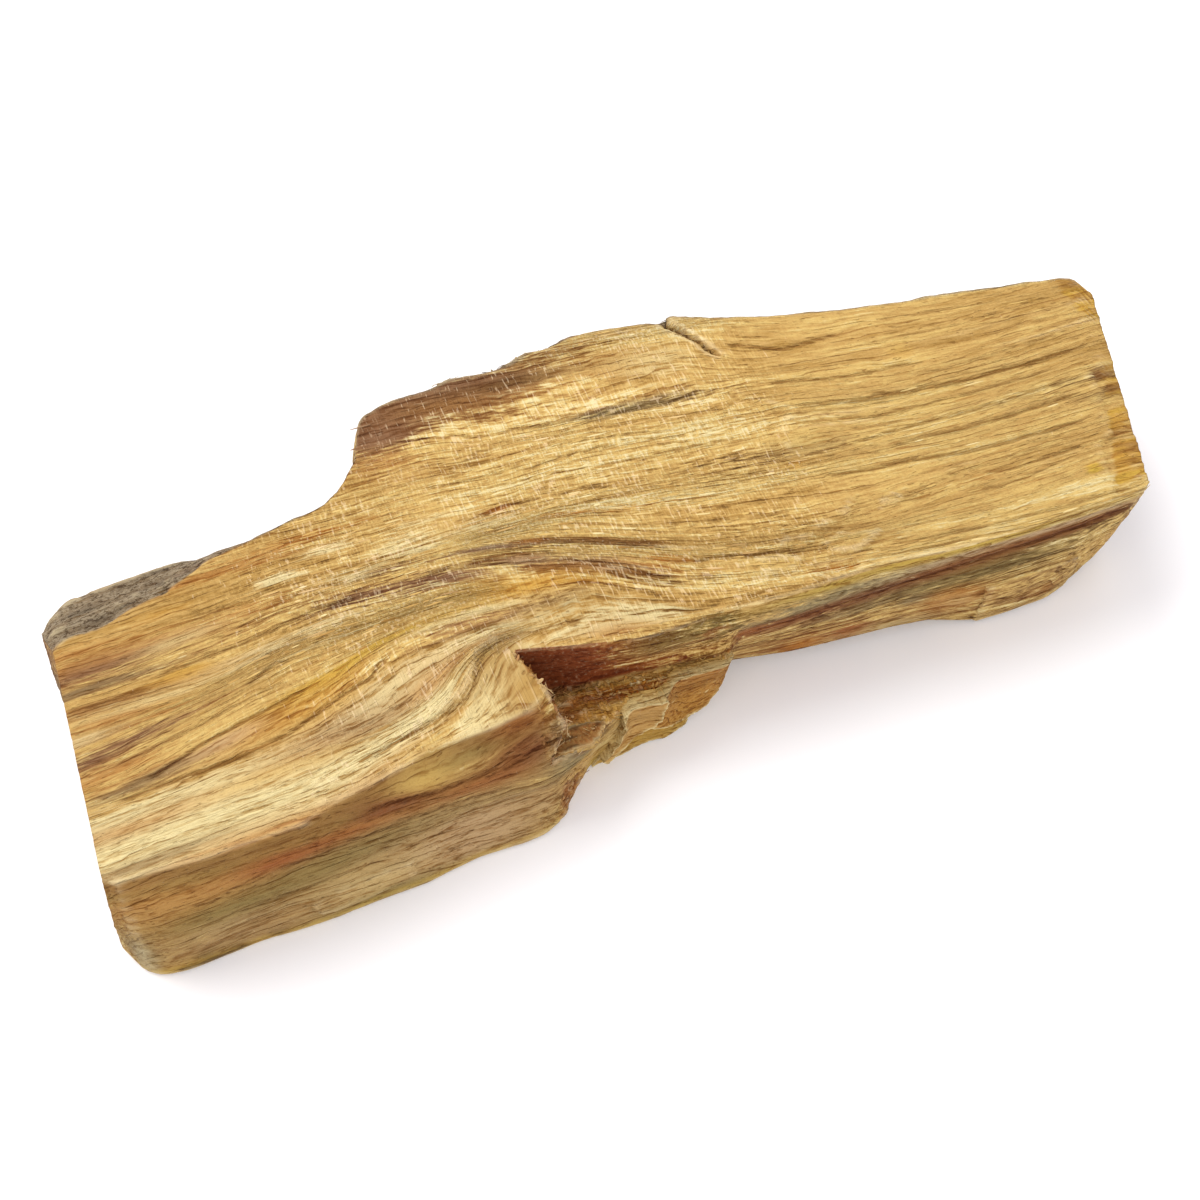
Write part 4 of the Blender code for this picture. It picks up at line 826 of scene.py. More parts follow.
# how pale the wood is along its own colours, and the stains over it with how much they cover
def paintWood(points, grain, masks):
    x, y, z = points.T
    drift = noiseBoth(grain, (0.022, 0.36, 0.36), 3, 71)
    fine = noiseBoth(grain, (0.045, 1.3, 1.3), 3, 81, 0.6)
    warm = noiseBoth(grain, (0.030, 0.55, 0.55), 2, 91)
    cool = noiseBoth(grain, (0.035, 0.50, 0.50), 2, 96)
    grit = noiseBoth(grain, (0.14, 1.9, 1.9), 3, 101, 0.6)
    level = paint["level"] + paint["drift"] * drift + paint["fine"] * fine
    level += (0.12 * smooth(x, -18, -8) * smooth(-x, -22, -16) * smooth(y, 0, 5)
              - 0.06 * smooth(-x, 20, 32) + 0.05 * smooth(x, 20, 30))
    wedge = spotAt(x, y, *paint["wedge"])
    level += masks["top"] * (0.05 * smooth(x, 20, 26) * smooth(-y, 1.5, 4.5) - 0.14 * wedge)
    stain, cover = np.zeros_like(points), np.zeros(len(points))

    def lay(shade, amount):
        nonlocal stain, cover
        stain, cover = layOver(stain, cover, shade, amount)

    top, wall, ledge, broken, back, bark, end = (
        masks[name] for name in ("top", "wall", "ledge", "broken", "back", "bark", "end"))
    front = masks["front"] * (1 - top)
    plainFront, atLeft = front * (1 - wall), top * smooth(-x, 20, 30)
    lay("orange", 0.45 * smooth(warm, 0.10, 0.8))
    lay("greyBrown", 0.42 * smooth(cool, 0.12, 0.8) * (1 - atLeft))
    lay("mauve", 0.40 * smooth(cool, 0.12, 0.8) * atLeft)
    lay("orangeTan", 0.40 * smooth(fine, -0.3, 0.4) * atLeft)
    for shade, amount in streaksAt(x, grain, paint["top"], 1, grit):
        lay(shade, amount * top)
    # the worn strip at the right end, golden where it isn't chipped
    strip = (smooth(x + 0.35 * grit - (46.1 + 0.42 * np.clip(y + 11.5, 0, 14)), -0.3, 0.5)
             * smooth(-y, -2.2, -1.0))
    corner = smooth(x + 0.5 * grit - (52.6 - 0.15 * (y - 8)), -0.5, 0.9) * smooth(y, 1.5, 5.0)
    strip = top * np.maximum(strip, corner)
    lay("gold", 0.62 * strip * smooth(warm + grit, -0.7, 0.2))
    lay("yellow", 0.6 * strip * smooth(grit, 0.0, 0.5))
    lay("brown", 0.5 * strip * smooth(-fine - 0.4 * grit, 0.0, 0.4))
    # the front is browner than the top, most of all under its edge
    level = level - front * (0.08 - 0.05 * smooth(-x, 24, 34) - 0.06 * smooth(x, 6, 14))
    level = level - 0.07 * front * smooth(x, 12, 18) * smooth(-z, -6.5, -4.5)
    lay("greyOlive", 0.2 * plainFront)
    lay("ochre", 0.4 * plainFront * smooth(-x, 8, 12))
    lay("olive", 0.45 * front * smooth(z, 11.0, 12.4) * smooth(-x, 9.5, 13.0))
    lay("brown", 0.5 * front * smooth(z, 12.6, 13.8) * smooth(-x, 9.5, 13.0))
    for shade, amount in streaksAt(x, grain, paint["front"], 2, grit):
        lay(shade, amount * plainFront)
    # a crumbly rim along the bottom at the left
    lay("yellow", 0.45 * front * smooth(-z, -1.3, -0.4) * smooth(-x, 8, 12))
    lay("umber", 0.8 * front * smooth(-z, -1.5, -0.5) * smooth(grit, 0.25, 0.5) * smooth(-x, 26, 34))
    # the notch: its wall, its ledge and the broken face
    lay("rust", 0.55 * wall * smooth(-x, -8, 0))
    lay("olive", 0.6 * wall * smooth(x, -4.0, 2.0) * smooth(z, 9.5, 13.5))
    # the wall's own maroon, laid deeper as painted shade towards the notch's inner corner and its foot
    shaded = smooth(-x, -3.0, 8.0) * 1.1 + 0.5 * smooth(-z, -11.0, -8.6) - 0.25
    lay("maroon", 0.97 * smooth(wall * shaded, 0.1, 0.75))
    lay("brick", 0.5 * wall * smooth(grit, 0.0, 0.5))
    lay("orange", 0.55 * ledge)
    lay("straw", 0.75 * ledge * smooth(grit + 0.3 * fine, -0.2, 0.25))
    lay("rust", 0.8 * ledge * spotAt(x, y, *paint["ledgeRust"]))
    lay("greyOlive", 0.8 * ledge * spotAt(x, y, *paint["ledgeGrey"]))
    lay("maroon", 0.5 * ledge * smooth(-grit, 0.2, 0.5) * smooth(-y, 8.5, 10.5))
    lay("maroon", 0.8 * ledge * smooth(y, -8.9, -7.6) * smooth(-x, -2, 6))
    lay("rust", 0.6 * broken)
    lay("paleGold", 0.6 * broken * smooth(grit, 0.1, 0.5))
    lay("gold", 0.6 * ledge * smooth(fine, -0.1, 0.3) * smooth(x, -8.0, -5.0))
    # the weathered back, the bark at its left corner, the underside and the sawn ends
    lay("mauve", 0.55 * back)
    lay("barkGrey", back * smooth(drift + 0.5 * cool, -0.35, 0.35) * 0.75)
    lay("barkDark", back * smooth(fine, 0.1, 0.6) * 0.6)
    lay("barkGrey", bark)
    lay("mauve", bark * smooth(warm + 0.5 * grit + 0.3 * (y - 14.0), -0.1, 0.5) * 0.6)
    lay("barkDark", bark * smooth(grit, 0.15, 0.6) * 0.7)
    lay("greyTan", 0.45 * masks["under"])
    lay("brown", 0.5 * end)
    lay("greyBrown", 0.35 * end * smooth(drift, -0.2, 0.4))
    return level, stain, cover


level, stain, cover = paintWood(points, grain, masks)
print("painted:", len(paint["top"]) + len(paint["front"]), "streaks")


def newMesh(name, points, faces):
    mesh = bpy.data.meshes.new(name)
    mesh.from_pydata(points.tolist(), [], faces)
    mesh.update()
    piece = bpy.data.objects.new(name, mesh)
    scene.collection.objects.link(piece)
    return piece


# a number, a vector or a colour for each point, told by how many columns it has
def giveAttributes(piece, values):
    for name, rows in values.items():
        rows = np.asarray(rows, np.float32)
        kind, key = {1: ("FLOAT", "value"), 3: ("FLOAT_VECTOR", "vector"),
                     4: ("FLOAT_COLOR", "color")}[rows[0].size]
        piece.data.attributes.new(name, kind, "POINT").data.foreach_set(key, rows.ravel())


def withAlpha(columns, alpha=1.0):
    return np.column_stack([columns, np.full(len(columns), alpha)])


# one output of a node, the first unless another is asked for, so that trees read as sums and products
class wire:
    def __init__(self, tree, node, key=0):
        self.tree, self.node, self.socket = tree, node, node.outputs[key]

    def __getitem__(self, key):
        return wire(self.tree, self.node, key)

    def __add__(self, other):
        return calc(self.tree, "ADD", self, other)

    def __sub__(self, other):
        return calc(self.tree, "SUBTRACT", self, other)

    def __rsub__(self, other):
        return calc(self.tree, "SUBTRACT", other, self)

    def __mul__(self, other):
        return calc(self.tree, "MULTIPLY", self, other)

    def __rtruediv__(self, other):
        return calc(self.tree, "DIVIDE", other, self)


# joins a wire to a socket, or sets the socket's own value
def join(tree, value, socket):
    if isinstance(value, wire):
        tree.links.new(value.socket, socket)
    else:
        socket.default_value = value


def put(tree, kind, inputs=None, **settings):
    node = tree.nodes.new(kind)
    for name, value in settings.items():
        setattr(node, name, value)
    for key, value in (inputs or {}).items():
        join(tree, value, node.inputs[key])
    return wire(tree, node)


def calc(tree, operation, a, b=0.0, clamp=False):
    if isinstance(a, wire) and a.socket.type == "VECTOR":
        return put(tree, "ShaderNodeVectorMath", {0: a, 1: b}, operation=operation)
    return put(tree, "ShaderNodeMath", {0: a, 1: b}, operation=operation, use_clamp=clamp)


def noiseOn(vector, detail, roughness, scale=1.0):
    return put(vector.tree, "ShaderNodeTexNoise", {"Vector": vector, "Scale": scale, "Detail": detail,
                                                   "Roughness": roughness})


def between(value, low, high):
    return put(value.tree, "ShaderNodeMapRange", {0: value, 1: low, 2: high, 3: 0.0, 4: 1.0},
               interpolation_type="SMOOTHSTEP")


def mixed(tree, factor, a, b, blend="MIX"):
    return put(tree, "ShaderNodeMix", {0: factor, 6: a, 7: b}, data_type="RGBA", blend_type=blend)[2]


def mixedValue(share, a, b):
    return put(share.tree, "ShaderNodeMix", {0: share, 2: a, 3: b})


def named(tree, name, kind="FLOAT"):
    return put(tree, "GeometryNodeInputNamedAttribute", {"Name": name}, data_type=kind)


# a node group: its inputs with their first values, and its outputs
def newTree(name, kind, inputs, outputs):
    tree = bpy.data.node_groups.new(name, kind)
    kinds = {"Geometry": "NodeSocketGeometry", "Grain": "NodeSocketVector"}
    for label, value in inputs.items():
        plain = "NodeSocketInt" if isinstance(value, int) else "NodeSocketFloat"
        socket = tree.interface.new_socket(label, in_out="INPUT", socket_type=kinds.get(label, plain))
        if value is not None:
            socket.default_value = value
    for label in outputs:
        tree.interface.new_socket(label, in_out="OUTPUT", socket_type=kinds.get(label, "NodeSocketFloat"))
    return tree, wire(tree, tree.nodes.new("NodeGroupInput")), tree.nodes.new("NodeGroupOutput")


def giveOut(tree, result, values):
    for name, value in values.items():
        join(tree, value, result.inputs[name])
    return tree


# shader groups that the wood's material is put together from
def woodGrainGroup():
    tree, given, result = newTree("woodGrain", "ShaderNodeTree", {
        "Grain": None, "Streak Width": 1.0, "Line Share": 0.4, "Pore Share": 0.35},
        ["Streak", "Line", "Pore", "Height"])
    place = given["Grain"] * (1.0 / given["Streak Width"])
    # the fibres wave a little to both sides
    slow = noiseOn(place * (0.13, 0.45, 0.45), 2.0, 0.5) - 0.5
    quick = noiseOn(place * (0.75, 1.4, 1.4), 2.0, 0.5) - 0.5
    wave = slow * 0.6 + quick * 0.14
    waved = place + put(tree, "ShaderNodeCombineXYZ", {1: wave, 2: wave})
    broad = noiseOn(waved * (0.10, 1.5, 1.5), 5.0, 0.68)
    fine = noiseOn(waved * (0.45, 6.5, 6.5), 3.0, 0.62)
    streak = broad * 0.55 + fine * 0.65 - 0.10
    # dark lines where one layer of growth ends
    across = put(tree, "ShaderNodeSeparateXYZ", {0: waved})
    layer = across[1] * 1.5 + across[2] * 1.1 + noiseOn(waved * (0.03, 0.5, 0.5), 2.0, 0.5) * 3.0
    rings = calc(tree, "FRACT", layer)
    broken = noiseOn(waved * (0.22, 0.9, 0.9), 2.0, 0.5)
    share = 0.72 - given["Line Share"] * 0.4
    line = between(rings, 0.84, 0.97) * between(broken, share, share + 0.16)
    streak = streak + (0.5 - rings) * 0.07
    dots = noiseOn(waved * (0.9, 8.0, 8.0), 1.0, 0.5)
    start = 0.78 - given["Pore Share"] * 0.2
    pore = between(dots, start, start + 0.06)
    return giveOut(tree, result, {"Streak": streak, "Line": line, "Pore": pore,
                                  "Height": streak - line * 0.35 - pore * 0.2})


def rayFleckGroup():
    tree, given, result = newTree("rayFleck", "ShaderNodeTree", {"Grain": None, "Share": 0.5},
                                  ["Fleck", "Weave"])
    ticks = noiseOn(given["Grain"] * (4.8, 1.25, 1.25), 1.0, 0.5)
    patch = noiseOn(given["Grain"] * (0.22, 0.38, 0.38), 2.0, 0.5)
    edge = 0.80 - given["Share"] * (patch * 0.36)
    crisp = between(ticks, 0.36, 0.66) - 0.5
    return giveOut(tree, result, {"Fleck": between(ticks, edge, edge + 0.12),
                                  "Weave": crisp * given["Share"]})


def weatherGroup():
    tree, given, result = newTree("weathering", "ShaderNodeTree", {
        "Grain": None, "Amount": 0.0, "Hollow": 0.0}, ["Grime And Hollow Shade", "Height"])
    spots = noiseOn(given["Grain"] * (1.9, 2.8, 4.2), 5.0, 0.8)
    # grime spots on the weathered wood, with painted shade added in its hollows
    grimeAndHollowShade = between(spots, 0.50, 0.58) + given["Hollow"] * 0.3
    return giveOut(tree, result, {"Grime And Hollow Shade": calc(tree, "MULTIPLY", grimeAndHollowShade, given["Amount"], clamp=True),
                                  "Height": spots * given["Amount"]})


woodGrain, rayFleck, weathering = woodGrainGroup(), rayFleckGroup(), weatherGroup()
print("shader groups made")

finish = {
    "streakDark": (0.58, 0.44, 0.28, 1), "lineDark": (0.52, 0.35, 0.16, 1),
    "poreDark": (0.50, 0.36, 0.20, 1), "grooveDark": (0.42, 0.27, 0.12, 1),
    "fleckPale": (0.84, 0.64, 0.40, 1), "grimeAndHollowShadeDark": (0.26, 0.19, 0.13, 1),
    # rimPale is a painted highlight on sharp rims, crackDark painted shade inside the crack
    "rimPale": (0.90, 0.74, 0.44, 1), "crackDark": (0.10, 0.036, 0.008, 1),
    # how far each of them goes
    "streak": 0.7, "line": 0.6, "pore": 0.6, "groove": 0.66, "grimeAndHollowShade": 0.95, "fleck": 0.34, "glint": 0.26,
    "rim": 0.30,
    "rough": 0.74, "shine": 0.12, "bump": 1.0, "bumpDeep": 0.00035,
}


def stickMaterial():
    material = bpy.data.materials.new("paloSantoWood")
    material.use_nodes = True
    tree = material.node_tree

    def attribute(name, output="Fac"):
        return put(tree, "ShaderNodeAttribute", attribute_name=name)[output]

    def parts(name):
        node = put(tree, "ShaderNodeSeparateColor", {0: attribute(name, "Color")})
        return node[0], node[1], node[2]

    def darken(colour, amount, mark):
        return mixed(tree, calc(tree, "MULTIPLY", amount, finish[mark], clamp=True), colour,
                     finish[mark + "Dark"], "MULTIPLY")

    place, placeRight = attribute("grain", "Vector"), attribute("grainRight", "Vector")
    rightShare = attribute("rightShare")

    # a group's outputs along the left grain and along the right, mixed
    def both(made, inputs, outputs):
        left, right = (put(tree, "ShaderNodeGroup", {"Grain": where, **inputs}, node_tree=made)
                       for where in (place, placeRight))
        return [mixedValue(rightShare, left[name], right[name]) for name in outputs]

    fleckShare, weathered, endGrain = parts("zones")
    groove, hollow, rim = parts("marks")
    streak, line, pore, grainHeight = both(
        woodGrain, {"Streak Width": 1.0, "Line Share": 0.75, "Pore Share": 0.5},
        ("Streak", "Line", "Pore", "Height"))
    fleck, weave = both(rayFleck, {"Share": fleckShare}, ("Fleck", "Weave"))
    weather = put(tree, "ShaderNodeGroup", {"Grain": place, "Amount": weathered, "Hollow": hollow},
                  node_tree=weathering)
    swing = (streak - 0.5) * attribute("bold")
    # torn wood glitters with short broken fibres
    glitter = (noiseOn(place * (3.2, 6.0, 6.0), 2.0, 0.7) - 0.5) * (attribute("tear") * 1.6 + 0.25)
    pale = attribute("level") + swing * 2.2 + weave * 0.18 + glitter
    ramp = put(tree, "ShaderNodeValToRGB", {0: pale})
    stops = ramp.node.color_ramp.elements
    while len(stops) < len(paint["ramp"]):
        stops.new(0.5)
    for i, name in enumerate(paint["ramp"]):
        stops[i].position = i / (len(paint["ramp"]) - 1)
        stops[i].color = (*toLinear(shades[name]), 1)
    # a dark stain gathers in the dark streaks, a pale one in the pale ones
    gathers = between(parts("stain")[1], 0.30, 0.50) * 3.6 - 1.8
    covered = between(attribute("stain", "Alpha") + swing * gathers, 0.20, 0.70)
    stainShade = mixed(tree, between(swing, 0.04, -0.14), attribute("stain", "Color"),
                       finish["streakDark"], "MULTIPLY")
    colour = mixed(tree, covered, ramp, stainShade)
    colour = darken(colour, between(glitter, -0.03, -0.3), "streak")
    colour = mixed(tree, between(glitter, 0.06, 0.40) * finish["glint"], colour, finish["fleckPale"])
    colour = mixed(tree, 1.0, colour, (paint["dim"],) * 3 + (1,), "MULTIPLY")
    colour = darken(colour, line, "line")
    colour = darken(colour, pore, "pore")
    colour = mixed(tree, fleck * finish["fleck"], colour, finish["fleckPale"])
    # grime on the weathered wood, and painted shade in its hollows
    colour = darken(colour, weather["Grime And Hollow Shade"], "grimeAndHollowShade")
    # dark grooves, deepened by painted shade wherever the surface is hollow
    crisp = between(groove - swing * 1.5, 0.15, 0.85)
    colour = darken(colour, calc(tree, "ADD", crisp, hollow * 0.4, clamp=True), "groove")
    # painted highlight on sharp rims and ridges
    colour = mixed(tree, rim * finish["rim"], colour, finish["rimPale"])
    # painted shade inside the crack
    colour = mixed(tree, attribute("crackDark"), colour, finish["crackDark"])
    # growth rings and saw lines on the ends
    ringsOn = noiseOn(place * (0.0, 1.6, 0.75), 3.0, 0.6)
    colour = darken(colour, between(ringsOn, 0.55, 0.42) * endGrain, "line")
    rough = calc(tree, "SUBTRACT", finish["rough"], swing * 0.35, clamp=True)
    tall = grainHeight + weave * 0.12 - crisp * 0.5 + weather["Height"]
    bump = put(tree, "ShaderNodeBump",
               {"Height": tall, "Strength": finish["bump"], "Distance": finish["bumpDeep"]})
    giveOut(tree, tree.nodes["Principled BSDF"], {
        "Base Color": colour, "Roughness": rough, "Specular IOR Level": finish["shine"], "Normal": bump})
    return material


woodFinish = stickMaterial()


# Geometry Nodes: the fine relief that runs along the grain
fineRelief = {"Ridge Height": 0.00009, "Ridge Spacing": 0.75, "Ridge Length": 7.0, "Tear Height": 0.00009,
              "Seed": 4.0}


def grainReliefTree(material):
    tree, given, result = newTree("grainRelief", "GeometryNodeTree", {"Geometry": None, **fineRelief},
                                  ["Geometry"])
    along, across = 1.0 / given["Ridge Length"], 1.0 / given["Ridge Spacing"]
    size = put(tree, "ShaderNodeCombineXYZ", {0: along, 1: across, 2: across})
    seeded = put(tree, "ShaderNodeCombineXYZ", {0: given["Seed"]})
    left, right = (noiseOn(named(tree, side, "FLOAT_VECTOR") * size + seeded, 3.0, 0.6)
                   for side in ("grain", "grainRight"))
    ridges = mixedValue(named(tree, "rightShare"), left, right) - 0.5
    torn = noiseOn(named(tree, "grain", "FLOAT_VECTOR") * (1.1, 2.2, 2.2), 3.0, 0.6) - 0.5
    up = ridges * 2.0 * given["Ridge Height"]
    rough = torn * 2.0 * (given["Tear Height"] * named(tree, "tear"))
    offset = put(tree, "GeometryNodeInputNormal") * ((up + rough) * named(tree, "loose"))
    moved = put(tree, "GeometryNodeSetPosition", {"Geometry": given["Geometry"], "Offset": offset})
    real = put(tree, "GeometryNodeRealizeInstances", {0: moved})
    done = put(tree, "GeometryNodeSetMaterial", {"Geometry": real, "Material": material})
    return giveOut(tree, result, {"Geometry": done})


def runTree(piece, tree, values):
    modifier = piece.modifiers.new(tree.name, "NODES")
    modifier.node_group = tree
    for item in tree.interface.items_tree:
        if item.item_type == "SOCKET" and item.in_out == "INPUT" and item.name in values:
            modifier[item.identifier] = values[item.name]
    bpy.context.view_layer.update()
    graph = bpy.context.evaluated_depsgraph_get()
    made = bpy.data.meshes.new_from_object(piece.evaluated_get(graph))
    piece.modifiers.remove(modifier)
    return made


def inFrame(points):
    return (points + np.array([*stick["shift"], 0.0])) * mm


x, y, z = points.T
wood = newMesh("palo_santo_wood", inFrame(points), faces)
onTop = masks["top"] * (1 - masks["bark"])
notTop = 1 - masks["top"]
inFocus = smooth(x, -42, -22) * smooth(-x, -26, -17)
inTear = np.clip(masks["ledge"] + masks["broken"], 0, 1)
inNotch = np.clip(inTear + masks["wall"], 0, 1)
bold = 0.80 + 0.35 * onTop * inFocus + 0.4 * inNotch - 0.10 * onTop * smooth(x, 18, 24)
bold += 0.20 * np.maximum(masks["front"] * smooth(x, -14, -8), masks["back"]) * notTop
bold -= 0.18 * onTop * smooth(-x, 22, 34) + 0.30 * onTop * spotAt(x, y, *paint["quiet"])
fleckHere = onTop * (0.25 + 0.90 * inFocus) + 0.2 * masks["front"] * notTop
weathered = np.clip(masks["back"] + masks["bark"] + 0.25 * masks["under"], 0, 1)
frayed = (np.clip(onTop * (0.45 + 0.55 * inFocus) + 0.6 * masks["front"] + 0.5 * masks["back"], 0, 1)
          * (1 - masks["end"]) * (1 - masks["bark"]))
frayed *= smooth(-np.abs(x - 2), -48, -44) * smooth(np.abs(x + 10.5), 1.0, 3.0)
giveAttributes(wood, {
    "grain": grain[0], "grainRight": grain[1], "rightShare": grain[2],
    "along": fibreAlong(points, outwards), "level": level, "bold": bold, "stain": withAlpha(stain, cover),
    "zones": withAlpha(np.column_stack([fleckHere, weathered, masks["end"]])),
    # marks: dark grooves, painted shade in hollows, and a painted highlight on sharp rims
    "marks": withAlpha(np.column_stack([masks["dark"], smooth(masks["hollow"], 0.03, 0.20),
                                        smooth(-masks["hollow"], 0.08, 0.30)])),
    "crackDark": masks["crack"],
    "tear": np.clip(inTear + 0.3 * masks["front"] + 0.4 * masks["wall"] + masks["back"], 0, 1),
    "frayed": frayed * smooth(z, 0.8, 2.0), "torn": inTear * smooth(z, 1.5, 3.0),
    "loose": smooth(z, 0.0, 0.3)})
wood.data.shade_smooth()
wood.data = runTree(wood, grainReliefTree(woodFinish), fineRelief)
wood.data.name = "palo_santo_wood"
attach(wood, "root")
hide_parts("palo_santo_stick")
print("wood:", len(wood.data.vertices), "points after the fine relief")


# torn layers that stand off the front under the notch: thin plates with sharp rims
# each has its outline as place along and height, or place across where it lies flat on the ledge, how far
# it stands out and how far its folds do, its shades with what they cover, and the layers that shade it
layerStep = {"rim": 0.14, "inside": 0.22, "ragged": 0.13, "sunk": 0.7, "foldWidth": 0.42,
             "shaded": 0.22, "pale": 0.13,  # widths of the painted shadow at a layer's foot and of the painted highlight on its rim
             "behind": 9}  # added to the distance from the rim for the points at its back
tornLayers = {
    "knotLayer": {
        "flat": True, "out": 0.32, "fold": 0.10, "shades": [("orangeTan", 0.6), ("brown", 0.4)],
        "under": [],
        "outline": [
            (-10.3, -14.0), (-8.0, -14.2), (-6.3, -14.0), (-5.3, -13.1), (-4.6, -12.4), (-5.2, -12.0),
            (-6.4, -11.8), (-8.1, -11.7), (-9.6, -12.2), (-10.3, -13.0)]},
    "lowLayer": {
        "out": 0.25, "fold": 0.0, "shades": [("gold", 0.6), ("olive", 0.2)],
        "under": ["frontLayer", "wideLayer"],
        "outline": [
            (-5.6, 0.9), (-4.4, 2.2), (-3.0, 3.2), (-0.8, 3.4), (1.2, 3.2), (3.0, 2.2), (4.7, 1.6),
            (4.8, 0.8), (4.0, 0.25), (2.6, 0.3), (1.4, 0.1), (-0.4, 0.2), (-1.6, 0.05), (-3.4, 0.15),
            (-4.6, 0.05), (-5.8, 0.1)]},
    "wideLayer": {
        "out": 0.50, "fold": 0.0, "shades": [("rust", 0.45), ("gold", 0.25)], "under": ["frontLayer"],
        "outline": [
            (0.4, 8.1), (3.0, 8.2), (5.8, 8.3), (8.4, 8.2), (9.0, 7.4), (8.9, 5.5), (8.4, 3.8), (7.5, 2.8),
            (6.9, 2.5), (6.2, 1.5), (5.2, 1.2), (4.2, 1.5), (3.0, 1.8), (1.6, 2.4), (0.3, 2.8), (-0.6, 4.0),
            (-0.4, 6.0)]},
    "frontLayer": {
        "out": 0.95, "fold": 0.0, "shades": [("tan", 0.6), ("orangeTan", 0.3)], "under": [],
        "outline": [
            (-2.5, 7.8), (-1.4, 8.1), (-0.1, 8.3), (1.5, 8.3), (1.5, 7.0), (1.1, 6.2), (0.9, 5.2),
            (0.4, 4.2), (-0.8, 3.6), (-2.2, 2.9), (-3.6, 2.0), (-4.7, 1.2), (-5.0, 2.0), (-4.2, 3.2),
            (-3.2, 4.3), (-2.6, 5.4), (-2.8, 6.8)]},
}


# place across of the front under the notch, and height of the ledge over it
def lowFrontAt(x, z):
    (lowY, lowZ), (highY, highZ) = railAt("underFront", x), railAt("ledge", x)
    share = np.clip((z - lowZ) / (highZ - lowZ), 0, 1)
    return lowY * (1 - share) + highY * share


def ledgeHeightAt(x, y):
    (outerY, outerZ), (innerY, innerZ) = railAt("ledge", x), railAt("inner", x)
    share = np.clip((y - outerY) / (innerY - outerY), 0, 1)
    return outerZ * (1 - share) + innerZ * share


# the outline with a torn edge, in close steps and counter-clockwise
def tornRim(outline):
    corners = np.array(outline + outline[:1])
    lengths = np.concatenate([[0], np.cumsum(np.hypot(*np.diff(corners, axis=0).T))])
    at = np.arange(0, lengths[-1] - layerStep["rim"] / 2, layerStep["rim"])
    rim = np.column_stack([np.interp(at, lengths, corners[:, i]) for i in (0, 1)])
    for size, share in ((1.7, 1.2), (5.1, 0.8)):
        for i in (0, 1):
            place = np.column_stack([at * size, np.full_like(at, 9.5 * i), np.zeros_like(at)])
            rim[:, i] += layerStep["ragged"] * share * latticeNoise(place, 71)
    if rim[0, 1] > 0:  # one on the front stays off the floor
        rim[:, 1] = np.maximum(rim[:, 1], 0.05)
    area = (rim[:, 0] * np.roll(rim[:, 1], -1) - np.roll(rim[:, 0], -1) * rim[:, 1]).sum()
    return rim if area > 0 else rim[::-1]


def layerMesh(layer):
    rim = tornRim(layer["outline"])
    xs, zs = np.meshgrid(*(np.arange(rim[:, i].min(), rim[:, i].max(), layerStep["inside"])
                           for i in (0, 1)))
    flat, faces, cameFrom = fillIn(rim, np.column_stack([xs.ravel(), zs.ravel()]), 0.1)
    edge = [next(k for k, sources in enumerate(cameFrom) if i in sources) for i in range(len(rim))]
    a, b, c = flat[faces[0]]
    if (b - a)[0] * (c - a)[1] < (b - a)[1] * (c - a)[0]:
        faces = [face[::-1] for face in faces]
    x, up = flat.T
    onLedge = "flat" in layer
    base = ledgeHeightAt(x, up) if onLedge else lowFrontAt(x, up)
    place = np.column_stack([x, base, up])
    away = toLine(x, up, rim, closed=True)[0]
    folds = np.sin(2 * np.pi * (x + 0.3 * up) / layerStep["foldWidth"]
                   + 2.2 * latticeNoise(place * 0.7, 81))
    rough = (0.10 * grainNoise(place, (0.25, 1.0, 2.0), 3, 83)
             + 0.05 * grainNoise(place, (1.2, 1.0, 3.0), 2, 86))
    out = (layer["out"] * (0.75 + 0.25 * smooth(-away, -0.7, 0)) + rough
           + layer["fold"] * folds * smooth(away, 0, 0.4))
    count = len(flat)
    walls = [[b, a, a + count, b + count] for a, b in zip(edge, edge[1:] + edge[:1])]
    points = [np.stack([x, up, base + high] if onLedge else [x, base - high, up], axis=1)
              for high in (out, -layerStep["sunk"])]
    points, away = np.concatenate(points), np.concatenate([away, away + layerStep["behind"]])
    faces = faces + [[i + count for i in face[::-1]] for face in faces] + walls
    return points, faces, rim, away, np.tile(folds, 2)


